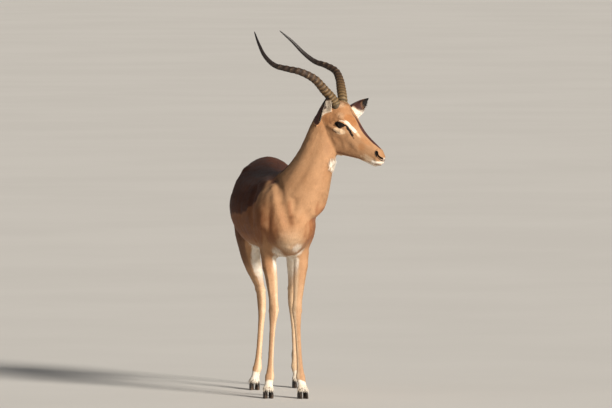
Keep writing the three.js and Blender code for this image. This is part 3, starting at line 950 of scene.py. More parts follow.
    # ears
    for k, ear in EARS.items():
        mine = share[:, k]
        s, across, inward = ear.read(q, hn)
        inside = step(-0.25, 0.25, inward)
        tip = s - 0.12 * across
        right = k == EAR_R
        rim_side = -1 if right else 1
        lining = mine * inside * step(0.02, 0.10, s) * fall(0.76, 0.88, s)
        put("white", lining if right else lining * fall(0.5, 0.62, tip))
        if right:
            for along, off_line, long, wide in EAR_BLOTCHES:
                blotch = np.hypot((s - along) / long, (across - off_line) / wide)
                put("dark", mine * inside * 0.75 * fall(0.2, 1.2, blotch + 0.07 * grain))
        else:
            bare = fall(0.1, 0.5, np.abs(across - 0.05)) * step(0.1, 0.2, s) * fall(0.35, 0.55, s)
            put("bare", mine * inside * 0.55 * bare)
            put("orange", mine * inside * step(0.05, 0.5, -across) * step(0.3, 0.5, s) * fall(0.75, 0.85, s))
            put("dark", mine * inside * 0.9 * step(0.5, 0.62, tip))
        put("dark", mine * (1 - inside) * step(0.0, 0.12, s))
        put("black", mine * step(0.70, 0.86, s + 0.05 * across * rim_side))
        put("black", mine * (1 - inside) * step(0.72, 0.92, across * rim_side) * step(0.2, 0.4, s))
        put("bare", mine * inside * fall(0.0, 0.12, s) * 0.5)
    mark["white"] *= 1 - mark["black"]
    mark["cream"] *= 1 - np.maximum(mark["black"], mark["white"])
    mark["dark"] *= 1 - np.maximum(mark["black"], 0.9 * mark["white"] * (1 - ears))
    mark["white"] *= 1 - 0.95 * mark["orange"] * ears
    return mark


def write_colours(mesh, name, columns):
    layer = mesh.attributes.new(name, "FLOAT_COLOR", "POINT")
    layer.data.foreach_set("color", np.stack(columns, 1).astype(np.float32).ravel())


# ---------------------------------------------------------------- the lie and length of the coat


NAPE_WAY = (-0.45, 0.72, 0.53)  # the way the longer hair of the nape faces
LONG_HAIR = 14.5  # longer tufts than this are bent
TIP_BEND = -14.0  # degrees, towards the skin
FEWEST_TUFTS = 20  # in one piece


def lie_of(co, n, share):
    """The way the hair lies at each vertex, along the skin."""
    _, y, z = co.T
    q = on_head(co)
    ones = np.ones(len(co))
    front = step(-250, -400, y)
    trunk = np.stack([0 * ones, 1 - 0.95 * front, -0.25 - 0.8 * front], 1)
    neck = np.array([-0.36, 0.33, -0.87]) * ones[:, None]
    low = step(600, 520, z)[:, None]
    leg = np.array([0, 0.6, -0.8]) * (1 - low) + np.array([0, 0.05, -1.0]) * low
    cheek = np.stack([0 * ones, ones, -0.35 * step(0, -60, q[:, 2]) + 0.15 * step(0, 30, q[:, 2])], 1)
    cheek[:, 0] = 0.25 * np.sign(q[:, 0]) * step(4, 30, np.abs(q[:, 0]))
    lie = (
        trunk * share[:, [TRUNK]]
        + neck * share[:, [NECK]]
        + unit(cheek) @ HEAD_AXES.T * share[:, [HEAD]]
        + leg * belongs(share, *LEGS)[:, None]
        + np.array([0, 0.08, -1]) * share[:, [TAIL]]
    )
    for k, ear in EARS.items():
        lie = lie + (HEAD_AXES @ ear.along) * share[:, [k]]
    lie = lie - n * (lie * n).sum(1)[:, None]
    return unit(lie)


def coat_of(co, n, share, mark):
    """Each vertex's hair: length, width, lift in degrees and tufts to the square centimetre."""
    _, y, z = co.T
    q = on_head(co)
    legs = belongs(share, *LEGS)
    low = legs * step(560, 480, z)
    head, neck, tail = share[:, HEAD], share[:, NECK], share[:, TAIL]
    ears = belongs(share, EAR_L, EAR_R)
    body = np.clip(1 - low - head - ears - tail, 0, 1)
    muzzle = step(-60, -150, q[:, 1])
    length = body * 13 + low * 8 + head * (6.5 - 3 * muzzle) + ears * 5 + tail * 34
    width = body * 2.2 + low * 1.6 + head * (1.4 - 0.5 * muzzle) + ears * 1.1 + tail * 2.4
    lift = body * 5 + low * 5 + head * 5.5 + ears * 9 + tail * 9
    dense = body * 4.6 + low * 6.5 + head * (13 + 5 * muzzle) + ears * 14 + tail * 9

    belly = step(600, 570, z) * share[:, TRUNK]
    rump = step(350, 385, y) * step(560, 600, z) * (1 - tail)
    nape = step(0.6, 0.9, n @ unit(np.array(NAPE_WAY))) * neck
    throat = (neck + head) * fall(20, 34, distance(q, THROAT, THROAT_REACH))
    gland = mark["black"] * step(105, 112, z) * step(170, 160, z) * belongs(share, HIND_R, HIND_L)
    coronet = legs * fall(50, 64, z)
    crown = head * step(20, 40, q[:, 1]) * step(40, 56, q[:, 2]) * step(34, 20, np.abs(q[:, 0]))
    for where, longer, raised, denser in (
        (belly, 8, 5, 0), (rump, 8, 3, 0), (nape, 3, 0, 0), (throat, 9, 14, 8),
        (gland, 10, 12, 14), (coronet, 17, 2, 15), (crown, 5, 8, 0),
    ):
        length += longer * where
        lift += raised * where
        dense += denser * where
    for k, ear in EARS.items():
        s, across, inward = ear.read(q, n @ HEAD_AXES)
        fringe = share[:, k] * step(0.0, 0.3, inward) * step(0.05, 0.15, s) * fall(0.8, 0.95, s)
        length += fringe * 9 * step(0.25, 0.9, np.abs(across))
        lift += fringe * 9

    # none in the nostrils and the opening of the eyes, and little on bare skin
    dense *= 1 - 0.95 * head * (along_line(mirrored(q), NOSTRIL)[0] < 4.5)
    dense *= 1 - 0.9 * mark["bare"]
    _, _, outside = eye_places(mirrored(q))
    dense *= np.where((head > 0.5) & (np.abs(q[:, 0]) > 30) & (outside < 1.2), 0, 1)
    return np.stack([length, width, lift, dense], 1)


# ---------------------------------------------------------------- tufts


SPIKE_FACES = [(0, 2, 1), (0, 1, 3), (1, 2, 3), (2, 0, 3)]
SPIKE_PATCH = [(0, 0), (1, 0), (0.5, 0.3), (0.5, 1)]
BENT_FACES = [(0, 2, 1), (0, 1, 4), (0, 4, 3), (1, 2, 5), (1, 5, 4), (2, 0, 3), (2, 3, 5), (3, 4, 6),
              (4, 5, 6), (5, 3, 6)]
BENT_PATCH = [(0, 0), (1, 0), (0.5, 0.1), (0, 0.5), (1, 0.5), (0.5, 0.5), (0.5, 1)]
PATCH_SIZE = 0.003


def tuft_mesh(label, root, normal, lie, length, width, lift, bend, marks_a, marks_b, home, long_hair):
    """A joined mesh of closed tufts: flat three-sided spikes, or bent ones for long hair."""
    count = len(root)
    side = np.cross(normal, lie)
    lift = np.radians(lift)[:, None]
    way = lie * np.cos(lift) + normal * np.sin(lift)
    up = normal * np.cos(lift) - lie * np.sin(lift)
    base = root - normal * (0.10 * width)[:, None] - normal * 0.25
    w, h = (width / 2)[:, None], (width * 0.2)[:, None]
    tips = base + way * length[:, None]
    if long_hair:
        later = lift + np.radians(bend)[:, None]
        knee = base + way * (0.5 * length)[:, None]
        way2 = lie * np.cos(later) + normal * np.sin(later)
        tips = knee + way2 * (0.5 * length)[:, None]
        rings = [(base, 0.8), (knee, 1.0)]
    else:
        rings = [(base, 1.0)]
    corners = []
    for middle, k in rings:
        corners += [middle - side * w * k, middle + side * w * k, middle + up * h * k]
    corners.append(tips)
    per = len(corners)
    co = np.stack(corners, 1).reshape(-1, 3)
    pattern = BENT_FACES if long_hair else SPIKE_FACES
    faces = (np.array(pattern)[None] + per * np.arange(count)[:, None, None]).reshape(-1, 3)
    mesh = bpy.data.meshes.new(label)
    mesh.vertices.add(len(co))
    mesh.vertices.foreach_set("co", placed(co).astype(np.float32).ravel())
    mesh.loops.add(faces.size)
    mesh.loops.foreach_set("vertex_index", faces.ravel().astype(np.int32))
    mesh.polygons.add(len(faces))
    mesh.polygons.foreach_set("loop_start", np.arange(0, faces.size, 3, dtype=np.int32))
    mesh.update(calc_edges=True)
    shown = unit(normal + 0.25 * up + chance.normal(0, 0.07, (count, 3)))
    shading = mesh.attributes.new("custom_normal", "FLOAT_VECTOR", "POINT")
    shading.data.foreach_set("vector", np.repeat(shown, per, axis=0).astype(np.float32).ravel())
    write_colours(mesh, "marks_a", [np.repeat(marks_a[:, k], per) for k in range(4)])
    write_colours(mesh, "marks_b", [np.repeat(marks_b[:, k], per) for k in range(4)])
    end = np.zeros(per)
    end[-1] = 1
    if long_hair:
        end[3:6] = 0.5
    tone = chance.random(count)
    none, full = np.zeros(count * per), np.ones(count * per)
    write_colours(mesh, "strand", [np.tile(end, count), np.repeat(tone, per), none, full])
    patch = BENT_PATCH if long_hair else SPIKE_PATCH
    uv = home[:, None, :] + (np.array(patch)[None] - 0.5) * PATCH_SIZE
    layer = mesh.uv_layers.new(name="OFBake")
    layer.data.foreach_set("uv", uv.reshape(-1, 2)[faces.ravel()].astype(np.float32).ravel())
    o = bpy.data.objects.new(label, mesh)
    bpy.context.scene.collection.objects.link(o)
    return o


def home_on_unwrap(co, zone, lines, n):
    """A root's place on an unwrap of its part of the skin, from 0 to 1 each way."""
    q = on_head(co)
    x, y, z = co.T
    if zone == TRUNK:
        u = np.arctan2(x + 6, z - 722) / (2 * math.pi) + 0.5
        v = (y + 430) / 860
    elif zone == TAIL:
        u = np.arctan2(x - 6, y - 430) / (2 * math.pi) + 0.5
        v = (z - 550) / 350
    elif zone == NECK:
        way = NECK_CUT[1]
        along = (co - NECK_CUT[0]) @ way
        hub = co - NECK_CUT[0] - along[:, None] * way
        u = np.arctan2(hub @ NECK_SIDE, hub @ NECK_BACK) / (2 * math.pi) + 0.5
        v = (along + 330) / 520
    elif zone == HEAD:
        u = np.arctan2(q[:, 0], q[:, 2] + 30) / (2 * math.pi) + 0.5
        v = (q[:, 1] + 215) / 350
    elif zone in EARS:
        s, across, inward = EARS[zone].read(q, n @ HEAD_AXES)
        u = (across + 1.25) / 5.2 + 0.5 * (inward > 0)
        v = s
    else:
        mid_x, mid_y, _, _ = leg_at(lines, zone, z)
        u = np.arctan2(x - mid_x, y - mid_y) / (2 * math.pi) + 0.5
        v = (z - 35) / 850
    return np.clip(np.stack([u, v], 1), 0, 1) * 0.97 + 0.015


# Each piece's zone, and the side of the body that it covers, or 0 for both.
COAT_PIECES = {
    "coat_trunk_right": (TRUNK, -1), "coat_trunk_left": (TRUNK, 1),
    "coat_neck": (NECK, 0), "coat_head": (HEAD, 0),
    "coat_ear_left": (EAR_L, 0), "coat_ear_right": (EAR_R, 0), "coat_tail": (TAIL, 0),
    "coat_foreleg_right": (FORE_R, 0), "coat_foreleg_left": (FORE_L, 0),
    "coat_hind_leg_right": (HIND_R, 0), "coat_hind_leg_left": (HIND_L, 0),
}


def grow_coat(body, lines, mark, lie, coat):
    """Plants tufts over the whole skin, denser and smaller where the coat is finer."""
    mesh = body.o.data
    mesh.calc_loop_triangles()
    tri = np.empty(len(mesh.loop_triangles) * 3, np.int32)
    mesh.loop_triangles.foreach_get("vertices", tri)
    tri = tri.reshape(-1, 3)
    a, b, c = (body.co[tri[:, k]] for k in range(3))
    area = np.linalg.norm(np.cross(b - a, c - a), axis=1) / 2
    wanted = area / 100 * coat[tri, 3].mean(1)
    total = int(wanted.sum())
    drawn_at = (np.arange(total) + chance.random(total)) * wanted.sum() / total
    pick = np.searchsorted(np.cumsum(wanted), drawn_at)
    pick = np.minimum(pick, len(tri) - 1)
    r1, r2 = np.sqrt(chance.random(total)), chance.random(total)
    weight = np.stack([1 - r1, r1 * (1 - r2), r1 * r2], 1)
    corner = tri[pick]

    def mixed(values):
        return (values[corner] * weight[..., None]).sum(1)

    root, normal = mixed(body.co), unit(mixed(body.n))
    way = mixed(lie) + 0.16 * chance.normal(size=(total, 3))
    way = unit(way - normal * (way * normal).sum(1)[:, None])
    length, width, lift, _ = mixed(coat).T
    length = length * (0.75 + 0.5 * chance.random(total))
    width = width * (0.8 + 0.4 * chance.random(total))
    lift = lift * (0.7 + 0.6 * chance.random(total))
    marks_a = mixed(np.stack([mark[k] for k in MARKS_A], 1))
    marks_b = mixed(np.stack([mark[k] for k in MARKS_B], 1))
    zone = body.share[corner[np.arange(total), weight.argmax(1)]].argmax(1)
    made = []
    for label, (k, s) in COAT_PIECES.items():
        mine = zone == k
        if s:
            mine &= s * (root[:, 0] + 6) > 0
        for long_hair in (False, True):
            some = mine & ((length > LONG_HAIR) == long_hair)
            if some.sum() < FEWEST_TUFTS:
                continue
            home = home_on_unwrap(root[some], k, lines, normal[some])
            made.append(tuft_mesh(
                label + ("_long" if long_hair else ""), root[some], normal[some], way[some], length[some],
                width[some], lift[some], np.full(some.sum(), TIP_BEND), marks_a[some], marks_b[some],
                home, long_hair,
            ))
    return made


# ---------------------------------------------------------------- eyes, horns and claws


EYEBALL_RADIUS = 18.2
BULGE = 0.035  # how far the clear front stands out, as a share of the radius
BULGE_EDGE = 48  # degrees from the middle of the eye


def make_eye(label, s):
    """An eyeball with a clear front that stands a little proud, turned outwards."""
    deselect()
    bpy.ops.mesh.primitive_uv_sphere_add(segments=64, ring_count=40, radius=EYEBALL_RADIUS * MM)
    o = bpy.context.object
    o.name = o.data.name = label
    co = places(o) / MM
    away = np.degrees(np.arccos(np.clip(unit(co)[:, 2], -1, 1)))
    co = co * (1 + BULGE * np.clip(1 - (away / BULGE_EDGE) ** 2, 0, 1))[:, None]
    across, high, _ = (unit(co) * 0.5 + 0.5).T
    write_colours(o.data, "iris", [away / 60, across, high, np.ones(len(co))])
    outward = np.array([s * 0.985, -0.17, 0.02])
    outward /= np.linalg.norm(outward)
    level = np.array([0.0, -math.cos(TILT), math.sin(TILT)])
    level = unit(level - outward * (level @ outward))
    third = np.cross(outward, level)
    co = co @ np.stack([level, third, outward])
    set_places(o, placed(off_head(co + (s * EYE_SIDE, 0, 0))))
    choose(o)
    bpy.ops.object.shade_smooth()
    return o


HORN_PATHS = {
    "left": [
        [22, 48, 38], [27, 67, 59], [69.5, 115, 85], [116, 161.5, 103.5], [150.5, 207.5, 113],
        [164.7, 260, 107], [169, 310, 95.5], [159, 364.5, 103], [138.5, 423, 123.5],
        [109, 477.5, 141],
    ],
    "right": [
        [-24, 52, 38], [-33, 73, 57], [-75, 112, 85.5], [-117.3, 158, 113.9], [-151.6, 206.3, 117.9],
        [-164.1, 258.9, 102.4], [-168.7, 310.2, 88.7], [-160, 366.7, 95.6], [-137.4, 424.5, 118.4],
        [-111.5, 476.2, 143.9],
    ],
}
HORN_BASE_RADIUS = 17.8
RINGED_SHARE = 0.68
# The first less the second is the number of rings. The second draws them apart up the horn.
RINGS, RINGS_SPREAD = 25, 7
RING_RISE = 0.62  # share of a ring's width over which it rises, before it drops more steeply


def smooth_line(points, per_span=40):
    """A centripetal curve through points, and how far along it each of its own points is."""
    padded = np.vstack([2 * points[0] - points[1], points, 2 * points[-1] - points[-2]])
    out = []
    for i in range(1, len(padded) - 2):
        p = padded[i - 1 : i + 3]
        t = np.concatenate([[0], np.cumsum(np.linalg.norm(np.diff(p, axis=0), axis=1) ** 0.5)])
        for u in np.linspace(t[1], t[2], per_span, endpoint=False):
            a = [((t[k + 1] - u) * p[k] + (u - t[k]) * p[k + 1]) / (t[k + 1] - t[k]) for k in range(3)]
            b = [((t[k + 2] - u) * a[k] + (u - t[k]) * a[k + 1]) / (t[k + 2] - t[k]) for k in range(2)]
            out.append(((t[2] - u) * b[0] + (u - t[1]) * b[1]) / (t[2] - t[1]))
    out.append(points[-1])
    out = np.array(out)
    run = np.concatenate([[0], np.cumsum(np.linalg.norm(np.diff(out, axis=0), axis=1))])
    return out, run


def make_horn(label, path):
    """A lyre-shaped horn: raised rings for two thirds of it, then a slim smooth tip."""
    line, run = smooth_line(np.array(path, float))
    rows, sides = 300, 48
    share = np.linspace(0, 1, rows) ** 0.97
    centre = np.stack([np.interp(share * run[-1], run, line[:, k]) for k in range(3)], 1)
    tangent = unit(np.gradient(centre, axis=0))
    normal = np.zeros((rows, 3))
    front = np.array([0.0, -1.0, 0.6])
    normal[0] = unit(front - tangent[0] * (front @ tangent[0]))
    for i in range(1, rows):
        normal[i] = unit(normal[i - 1] - tangent[i] * (normal[i - 1] @ tangent[i]))
    second = np.cross(tangent, normal)
    angle = np.linspace(0, 2 * math.pi, sides, endpoint=False)
    radius = HORN_BASE_RADIUS * np.minimum(1, 1.175 - 0.975 * share - 0.11 * share**14)
    radius = np.maximum(1.6, radius)[:, None] * np.ones((rows, sides))
    ringed = (share / RINGED_SHARE)[:, None]
    wave = RINGS * ringed - RINGS_SPREAD * ringed**2
    wave = wave + 0.14 * np.cos(angle) + 0.07 * np.sin(2 * angle + 9 * ringed)
    phase = wave % 1
    rising = 0.5 - 0.5 * np.cos(math.pi * phase / RING_RISE)
    dropping = 0.5 + 0.5 * np.cos(math.pi * (phase - RING_RISE) / (1 - RING_RISE))
    crest = np.where(phase < RING_RISE, rising, dropping) ** 1.3
    bold = 0.62 + 0.38 * np.cos(angle + 0.4)  # the rings stand out most in front
    fade = step(0.015, 0.06, share) * fall(RINGED_SHARE - 0.10, RINGED_SHARE + 0.03, share)
    fade = fade[:, None]
    radius *= 1 + (0.15 * crest * bold - 0.035) * fade
    radius *= 1 + 0.012 * np.sin(13 * angle + 20 * share[:, None]) * (0.4 + 0.6 * fade)
    tip = np.clip((1 - share) / 0.012, 0, 1)[:, None] ** 0.5
    radius = radius * np.maximum(tip, 0.25)
    co = (
        centre[:, None]
        + normal[:, None] * (radius * np.cos(angle))[..., None]
        + second[:, None] * (radius * np.sin(angle))[..., None]
    ).reshape(-1, 3)
    co = np.vstack([co, centre[0], centre[-1] + tangent[-1] * 1.2])
    ring = np.arange(sides)
    nxt = (ring + 1) % sides
    faces = []
    for i in range(0, (rows - 1) * sides, sides):
        faces += np.stack([i + ring, i + nxt, i + sides + nxt, i + sides + ring], 1).tolist()
    first, last = rows * sides, rows * sides + 1
    faces += [[first, int(b), int(a)] for a, b in zip(ring, nxt)]
    faces += [[last, int((rows - 1) * sides + a), int((rows - 1) * sides + b)] for a, b in zip(ring, nxt)]
    mesh = bpy.data.meshes.new(label)
    mesh.from_pydata(placed(off_head(co)).tolist(), [], faces)
    o = bpy.data.objects.new(label, mesh)
    bpy.context.scene.collection.objects.link(o)
    place = np.repeat(share, sides)
    high = (crest * fade).ravel()
    around = np.tile(angle, rows)
    ends = [0.0, 1.0]
    write_colours(mesh, "growth", [
        np.concatenate([place, ends]), np.concatenate([high, [0, 0]]),
        np.concatenate([np.tile(bold, rows), [0.5, 0.5]]), np.ones(len(co)),
    ])
    grain = mesh.attributes.new("grain_place", "FLOAT_VECTOR", "POINT")
    lanes = np.stack([np.cos(around), np.sin(around), place * 2.0], 1)
    grain.data.foreach_set("vector", np.vstack([lanes, [0, 0, 0], [0, 0, 2]]).astype(np.float32).ravel())
    editing(o)
    bpy.ops.mesh.normals_make_consistent(inside=False)
    deselect()
    choose(o)
    bpy.ops.object.shade_smooth()
    return o


CLAW_TOP = 0.0404  # metres; the claw's upper rim is above it


def make_claw(node):
    """A claw's own CAD shape with its faces made finer and its edges rounded."""
    o = merged_copy([node], node + "_horn")
    editing(o)
    bpy.ops.mesh.tris_convert_to_quads(face_threshold=math.radians(50), shape_threshold=math.radians(60))
    deselect()
    mesh = bmesh.new()
    mesh.from_mesh(o.data)
    crease = mesh.edges.layers.float.get("crease_edge") or mesh.edges.layers.float.new("crease_edge")
    for e in mesh.edges:
        low = all(v.co.z < 0.0006 for v in e.verts)
        high = all(v.co.z > CLAW_TOP for v in e.verts)
        if low or high:
            e[crease] = 0.9 if low else 0.6
    mesh.to_mesh(o.data)
    mesh.free()
    apply(o, "SUBSURF", levels=3, render_levels=3)
    co = places(o)
    low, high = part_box(node)
    low, high = np.array(low), np.array(high)
    now_low, now_high = co.min(0), co.max(0)
    co = (co - now_low) / (now_high - now_low) * (high - low - 0.0004) + low + 0.0002
    co[:, 2] -= co[:, 2].min()
    n = facing(o)
    rise = np.sin(co[:, 2] / MM * 1.55 + 0.6 * np.sin(co[:, 1] / MM * 0.2)) * step(0.004, 0.010, co[:, 2])
    co = co + n * (rise * 0.22 * MM)[:, None]
    co[:, 2] = np.maximum(co[:, 2], 0)
    set_places(o, co)
    o.data.name = o.name
    choose(o)
    bpy.ops.object.shade_smooth()
    return o


def make_lashes(s, side):
    """A fringe of stiff black lashes on each upper lid."""
    a = np.linspace(-15, 15, 46)
    span = 1 - (a / EYE_HALF) ** 2
    b = LID_RISE * span**0.75 + 0.4
    y = EYE_MIDDLE[0] - a * math.cos(TILT) + b * math.sin(TILT)
    z = EYE_MIDDLE[1] + a * math.sin(TILT) + b * math.cos(TILT)
    radius = EYE_RADIUS + 2.6
    x = np.sqrt(np.maximum(radius**2 - y**2 - z**2, 4)) + EYE_SIDE
    root = off_head(np.stack([s * x, y, z], 1))
    out = unit(np.stack([s * (x - EYE_SIDE), y, z], 1)) @ HEAD_AXES.T
    down = np.array([0, 0.12, -1.0]) @ HEAD_AXES.T + out * 0.9
    lie = unit(down - out * (down * out).sum(1)[:, None])
    count = len(a)
    black = np.zeros((count, 4))
    black[:, 2] = 1
    home = np.stack([np.linspace(0.1, 0.9, count), np.full(count, 0.5)], 1)
    length = 6.5 + 2 * np.sin(np.linspace(0, math.pi, count))
    width, lift, bend = (np.full(count, value) for value in (0.75, 52.0, 22.0))
    return tuft_mesh(f"lashes_{side}", root, out, lie, length, width, lift, bend,
                     np.zeros((count, 4)), black, home, True)


# ---------------------------------------------------------------- finishes


class Finish:
    """A material that is wired up node by node."""

    def __init__(self, name, roughness=0.6, specular=0.35, **fixed):
        self.material = bpy.data.materials.new(name)
        self.material.use_nodes = True
        self.tree = self.material.node_tree
        self.tree.nodes.clear()
        self.shader = self.add("ShaderNodeBsdfPrincipled", Roughness=roughness)
        self.shader.inputs["Specular IOR Level"].default_value = specular
        for key, value in fixed.items():
            self.shader.inputs[key.replace("_", " ")].default_value = value
        output = self.add("ShaderNodeOutputMaterial")
        self.tree.links.new(self.shader.outputs[0], output.inputs["Surface"])

    def add(self, kind, settings=None, **inputs):
        node = self.tree.nodes.new(kind)
        for key, value in (settings or {}).items():
            setattr(node, key, value)
        for key, value in inputs.items():
            self.put(node.inputs[key.replace("_", " ")], value)
        return node

    def put(self, socket, value):
        if isinstance(value, bpy.types.NodeSocket):
            self.tree.links.new(value, socket)
        elif isinstance(value, tuple) and len(value) == 3 and socket.type == "RGBA":
            socket.default_value = (*value, 1)
        else:
            socket.default_value = value

    def mix(self, share, low, high, blend="MIX"):
        node = self.tree.nodes.new("ShaderNodeMix")
        node.data_type, node.blend_type = "RGBA", blend
        for socket, value in ((0, share), (6, low), (7, high)):
            self.put(node.inputs[socket], value)
        return node.outputs[2]

    def math(self, operation, *values):
        node = self.tree.nodes.new("ShaderNodeMath")
        node.operation = operation
        for k, value in enumerate(values):
            self.put(node.inputs[k], value)
        return node.outputs[0]

    def times(self, a, b):
        return self.math("MULTIPLY", a, b)

    def plus(self, a, b):
        return self.math("ADD", a, b)

    def minus(self, a, b):
        return self.math("SUBTRACT", a, b)

    def shaded(self, colour, grey):
        """A colour made darker or paler by a number round 1."""
        grey = self.add("ShaderNodeCombineColor", Red=grey, Green=grey, Blue=grey).outputs[0]
        return self.mix(1.0, colour, grey, "MULTIPLY")

    def scaled(self, vector, scale):
        return self.add("ShaderNodeMapping", {"vector_type": "POINT"}, Vector=vector, Scale=scale).outputs[0]

    def remap(self, value, low, high, to_low=0.0, to_high=1.0, smooth=True):
        kind = "SMOOTHSTEP" if smooth else "LINEAR"
        node = self.add("ShaderNodeMapRange", {"interpolation_type": kind}, Value=value)
        for k, v in ((1, low), (2, high), (3, to_low), (4, to_high)):
            node.inputs[k].default_value = v
        return node.outputs[0]

    def attribute(self, name, output="Color"):
        return self.add("ShaderNodeAttribute", {"attribute_name": name}).outputs[output]

    def parts(self, name):
        """The four numbers that an attribute holds."""
        node = self.add("ShaderNodeAttribute", {"attribute_name": name})
        split = self.add("ShaderNodeSeparateColor", Color=node.outputs["Color"])
        return [*split.outputs, node.outputs["Alpha"]]

    def here(self):
        return self.add("ShaderNodeTexCoord").outputs["Object"]

    def noise(self, vector, scale, detail=3.0, roughness=0.55):
        node = self.add("ShaderNodeTexNoise", Vector=vector, Scale=scale, Detail=detail, Roughness=roughness)
        return node.outputs["Fac"]

    def drawn_out(self, way, stretch):
        """Object coordinates with the pattern pulled long in one direction."""
        turn = Vector(way).to_track_quat("X", "Z").to_euler()
        node = self.add("ShaderNodeMapping", {"vector_type": "TEXTURE"}, Vector=self.here(), Rotation=turn,
                        Scale=(stretch, 1, 1))
        return node.outputs[0]

    def finish(self, colour, rough=None, bump=None, strength=0.5, distance=0.001):
        self.put(self.shader.inputs["Base Color"], colour)
        if rough is not None:
            self.put(self.shader.inputs["Roughness"], rough)
        if bump is not None:
            node = self.add("ShaderNodeBump", Height=bump)
            node.inputs["Strength"].default_value = strength
            node.inputs["Distance"].default_value = distance
            self.tree.links.new(node.outputs[0], self.shader.inputs["Normal"])
        return self.material


TAN = (0.43, 0.240, 0.126)
TAN_DEEP = (0.35, 0.180, 0.086)
TAN_PALE = (0.50, 0.285, 0.15)
# Each mark's two tones, in clouds, as linear colours.
MARK_TONES = {
    # The flank and saddle tones are the coat's own darker reddish browns, deepened further as painted shade.
    "flank": ((0.25, 0.098, 0.041), (0.30, 0.130, 0.056)),
    "saddle": ((0.068, 0.023, 0.014), (0.100, 0.036, 0.020)),
    "orange": ((0.42, 0.185, 0.070), (0.34, 0.145, 0.055)),
    "cream": ((0.62, 0.430, 0.270), (0.68, 0.50, 0.34)),
    "white": ((0.82, 0.740, 0.640), (0.74, 0.63, 0.50)),
    "dark": ((0.055, 0.022, 0.019), (0.085, 0.035, 0.030)),
    "black": ((0.007, 0.006, 0.006), (0.017, 0.013, 0.012)),
    "bare": ((0.16, 0.105, 0.095), (0.22, 0.14, 0.12)),
}
HORN_TONES = (
    (0.0, (0.20, 0.145, 0.075)), (0.08, (0.20, 0.125, 0.050)), (0.20, (0.135, 0.075, 0.028)),
    (0.36, (0.066, 0.035, 0.018)), (0.62, (0.026, 0.017, 0.014)), (1.0, (0.011, 0.010, 0.011)),
)


def coat_finish(name, tufts):
    """Short hair in all its colours. Tufts have paler tips, and each has a tone of its own."""
    f = Finish(name, roughness=0.66, specular=0.15)
    f.shader.inputs["Sheen Weight"].default_value = 0.03
    f.shader.inputs["Sheen Roughness"].default_value = 0.45
    here = f.here()
    saddle, orange, flank, dark = f.parts("marks_a")
    cream, white, black, bare = f.parts("marks_b")
    broad = f.noise(here, 7.0, 3.0)
    fine = f.noise(f.drawn_out((0, 0.75, -0.66), 7.0), 420.0, 4.0, 0.6)
    patchy = f.noise(here, 38.0, 4.0)

    def edged(mask, amount=0.22):
        """A mark whose border frays into hairs."""
        frayed = f.plus(mask, f.times(f.minus(fine, 0.5), amount))
        return f.remap(frayed, 0.12, 0.88)

    colour = f.mix(f.remap(broad, 0.3, 0.7), TAN, TAN_DEEP)
    colour = f.mix(f.times(f.remap(patchy, 0.35, 0.75), 0.35), colour, TAN_PALE)
    masks = {"flank": flank, "saddle": saddle, "orange": orange, "cream": cream,
             "white": white, "dark": dark, "black": black, "bare": bare}
    for name, mask in masks.items():
        colour = f.mix(edged(mask), colour, f.mix(f.remap(patchy, 0.35, 0.7), *MARK_TONES[name]))
    hairs = f.remap(fine, 0.25, 0.75, 0.84, 1.14, smooth=False)
    if tufts:
        end, tone, _, _ = f.parts("strand")
        own = f.remap(tone, 0.0, 1.0, 0.86, 1.14, smooth=False)
        tip = f.remap(end, 0.0, 1.0, 0.92, 1.10, smooth=False)
        hairs = f.times(own, tip)
    colour = f.shaded(colour, hairs)
    rough = f.remap(patchy, 0.3, 0.7, 0.56, 0.74)
    if tufts:
        return f.finish(colour, rough, f.noise(here, 900.0, 2.0), 0.15, 0.0003)
    weights = f.parts("zones")
    ways = ((0, 0.95, -0.25), (0, 0.1, -1), (-0.36, 0.33, -0.87), tuple(HEAD_AXES[:, 1]))
    height = None
    for weight, way in zip(weights, ways):
        streak = f.times(weight, f.noise(f.drawn_out(way, 9.0), 330.0, 4.0, 0.62))
        height = streak if height is None else f.plus(height, streak)
    height = f.plus(height, f.times(patchy, 0.5))
    return f.finish(colour, rough, height, 0.8, 0.0012)


def horn_finish():
    """Ridged yellow-brown at the base, darkening to a black tip, with fine lengthwise grain."""
    f = Finish("ringed_horn", roughness=0.5, specular=0.4)
    place, crest, _, _ = f.parts("growth")
    lanes = f.attribute("grain_place", "Vector")
    grain = f.noise(lanes, 9.0, 5.0, 0.65)
    long_grain = f.noise(f.scaled(lanes, (9, 9, 1.6)), 2.2, 5.0)
    cloud = f.noise(f.here(), 90.0, 4.0)
    ramp = f.add("ShaderNodeValToRGB", Fac=f.plus(place, f.times(f.minus(grain, 0.5), 0.14)))
    stops = ramp.color_ramp.elements  # a new ramp has a first and a last stop
    for at, _ in HORN_TONES[1:-1]:
        stops.new(at)
    for stop, (_, tone) in zip(stops, HORN_TONES):
        stop.color = (*tone, 1)
    # darker in the grooves between the rings
    groove = f.remap(crest, 0.0, 0.5, 0.42, 1.0)
    ringed = f.remap(place, 0.60, 0.72, 1.0, 0.0)
    darker_in_grooves = f.minus(1.0, f.times(f.minus(1.0, groove), ringed))
    colour = f.shaded(ramp.outputs["Color"], darker_in_grooves)
    worn = f.times(f.times(f.remap(crest, 0.70, 1.0), f.remap(cloud, 0.50, 0.64)), ringed)
    colour = f.mix(f.times(worn, 0.5), colour, (0.34, 0.25, 0.155))
    flecks = f.times(f.remap(f.noise(f.here(), 150.0, 5.0, 0.7), 0.50, 0.62), ringed)
    colour = f.mix(f.times(flecks, 0.6), colour, (0.040, 0.022, 0.012))
    streak = f.remap(long_grain, 0.3, 0.7, 0.72, 1.22, smooth=False)
    colour = f.shaded(colour, streak)
    rough = f.remap(place, 0.55, 1.0, 0.58, 0.34)
    height = f.plus(long_grain, f.times(cloud, 0.6))
    return f.finish(colour, rough, height, 0.7, 0.0012)


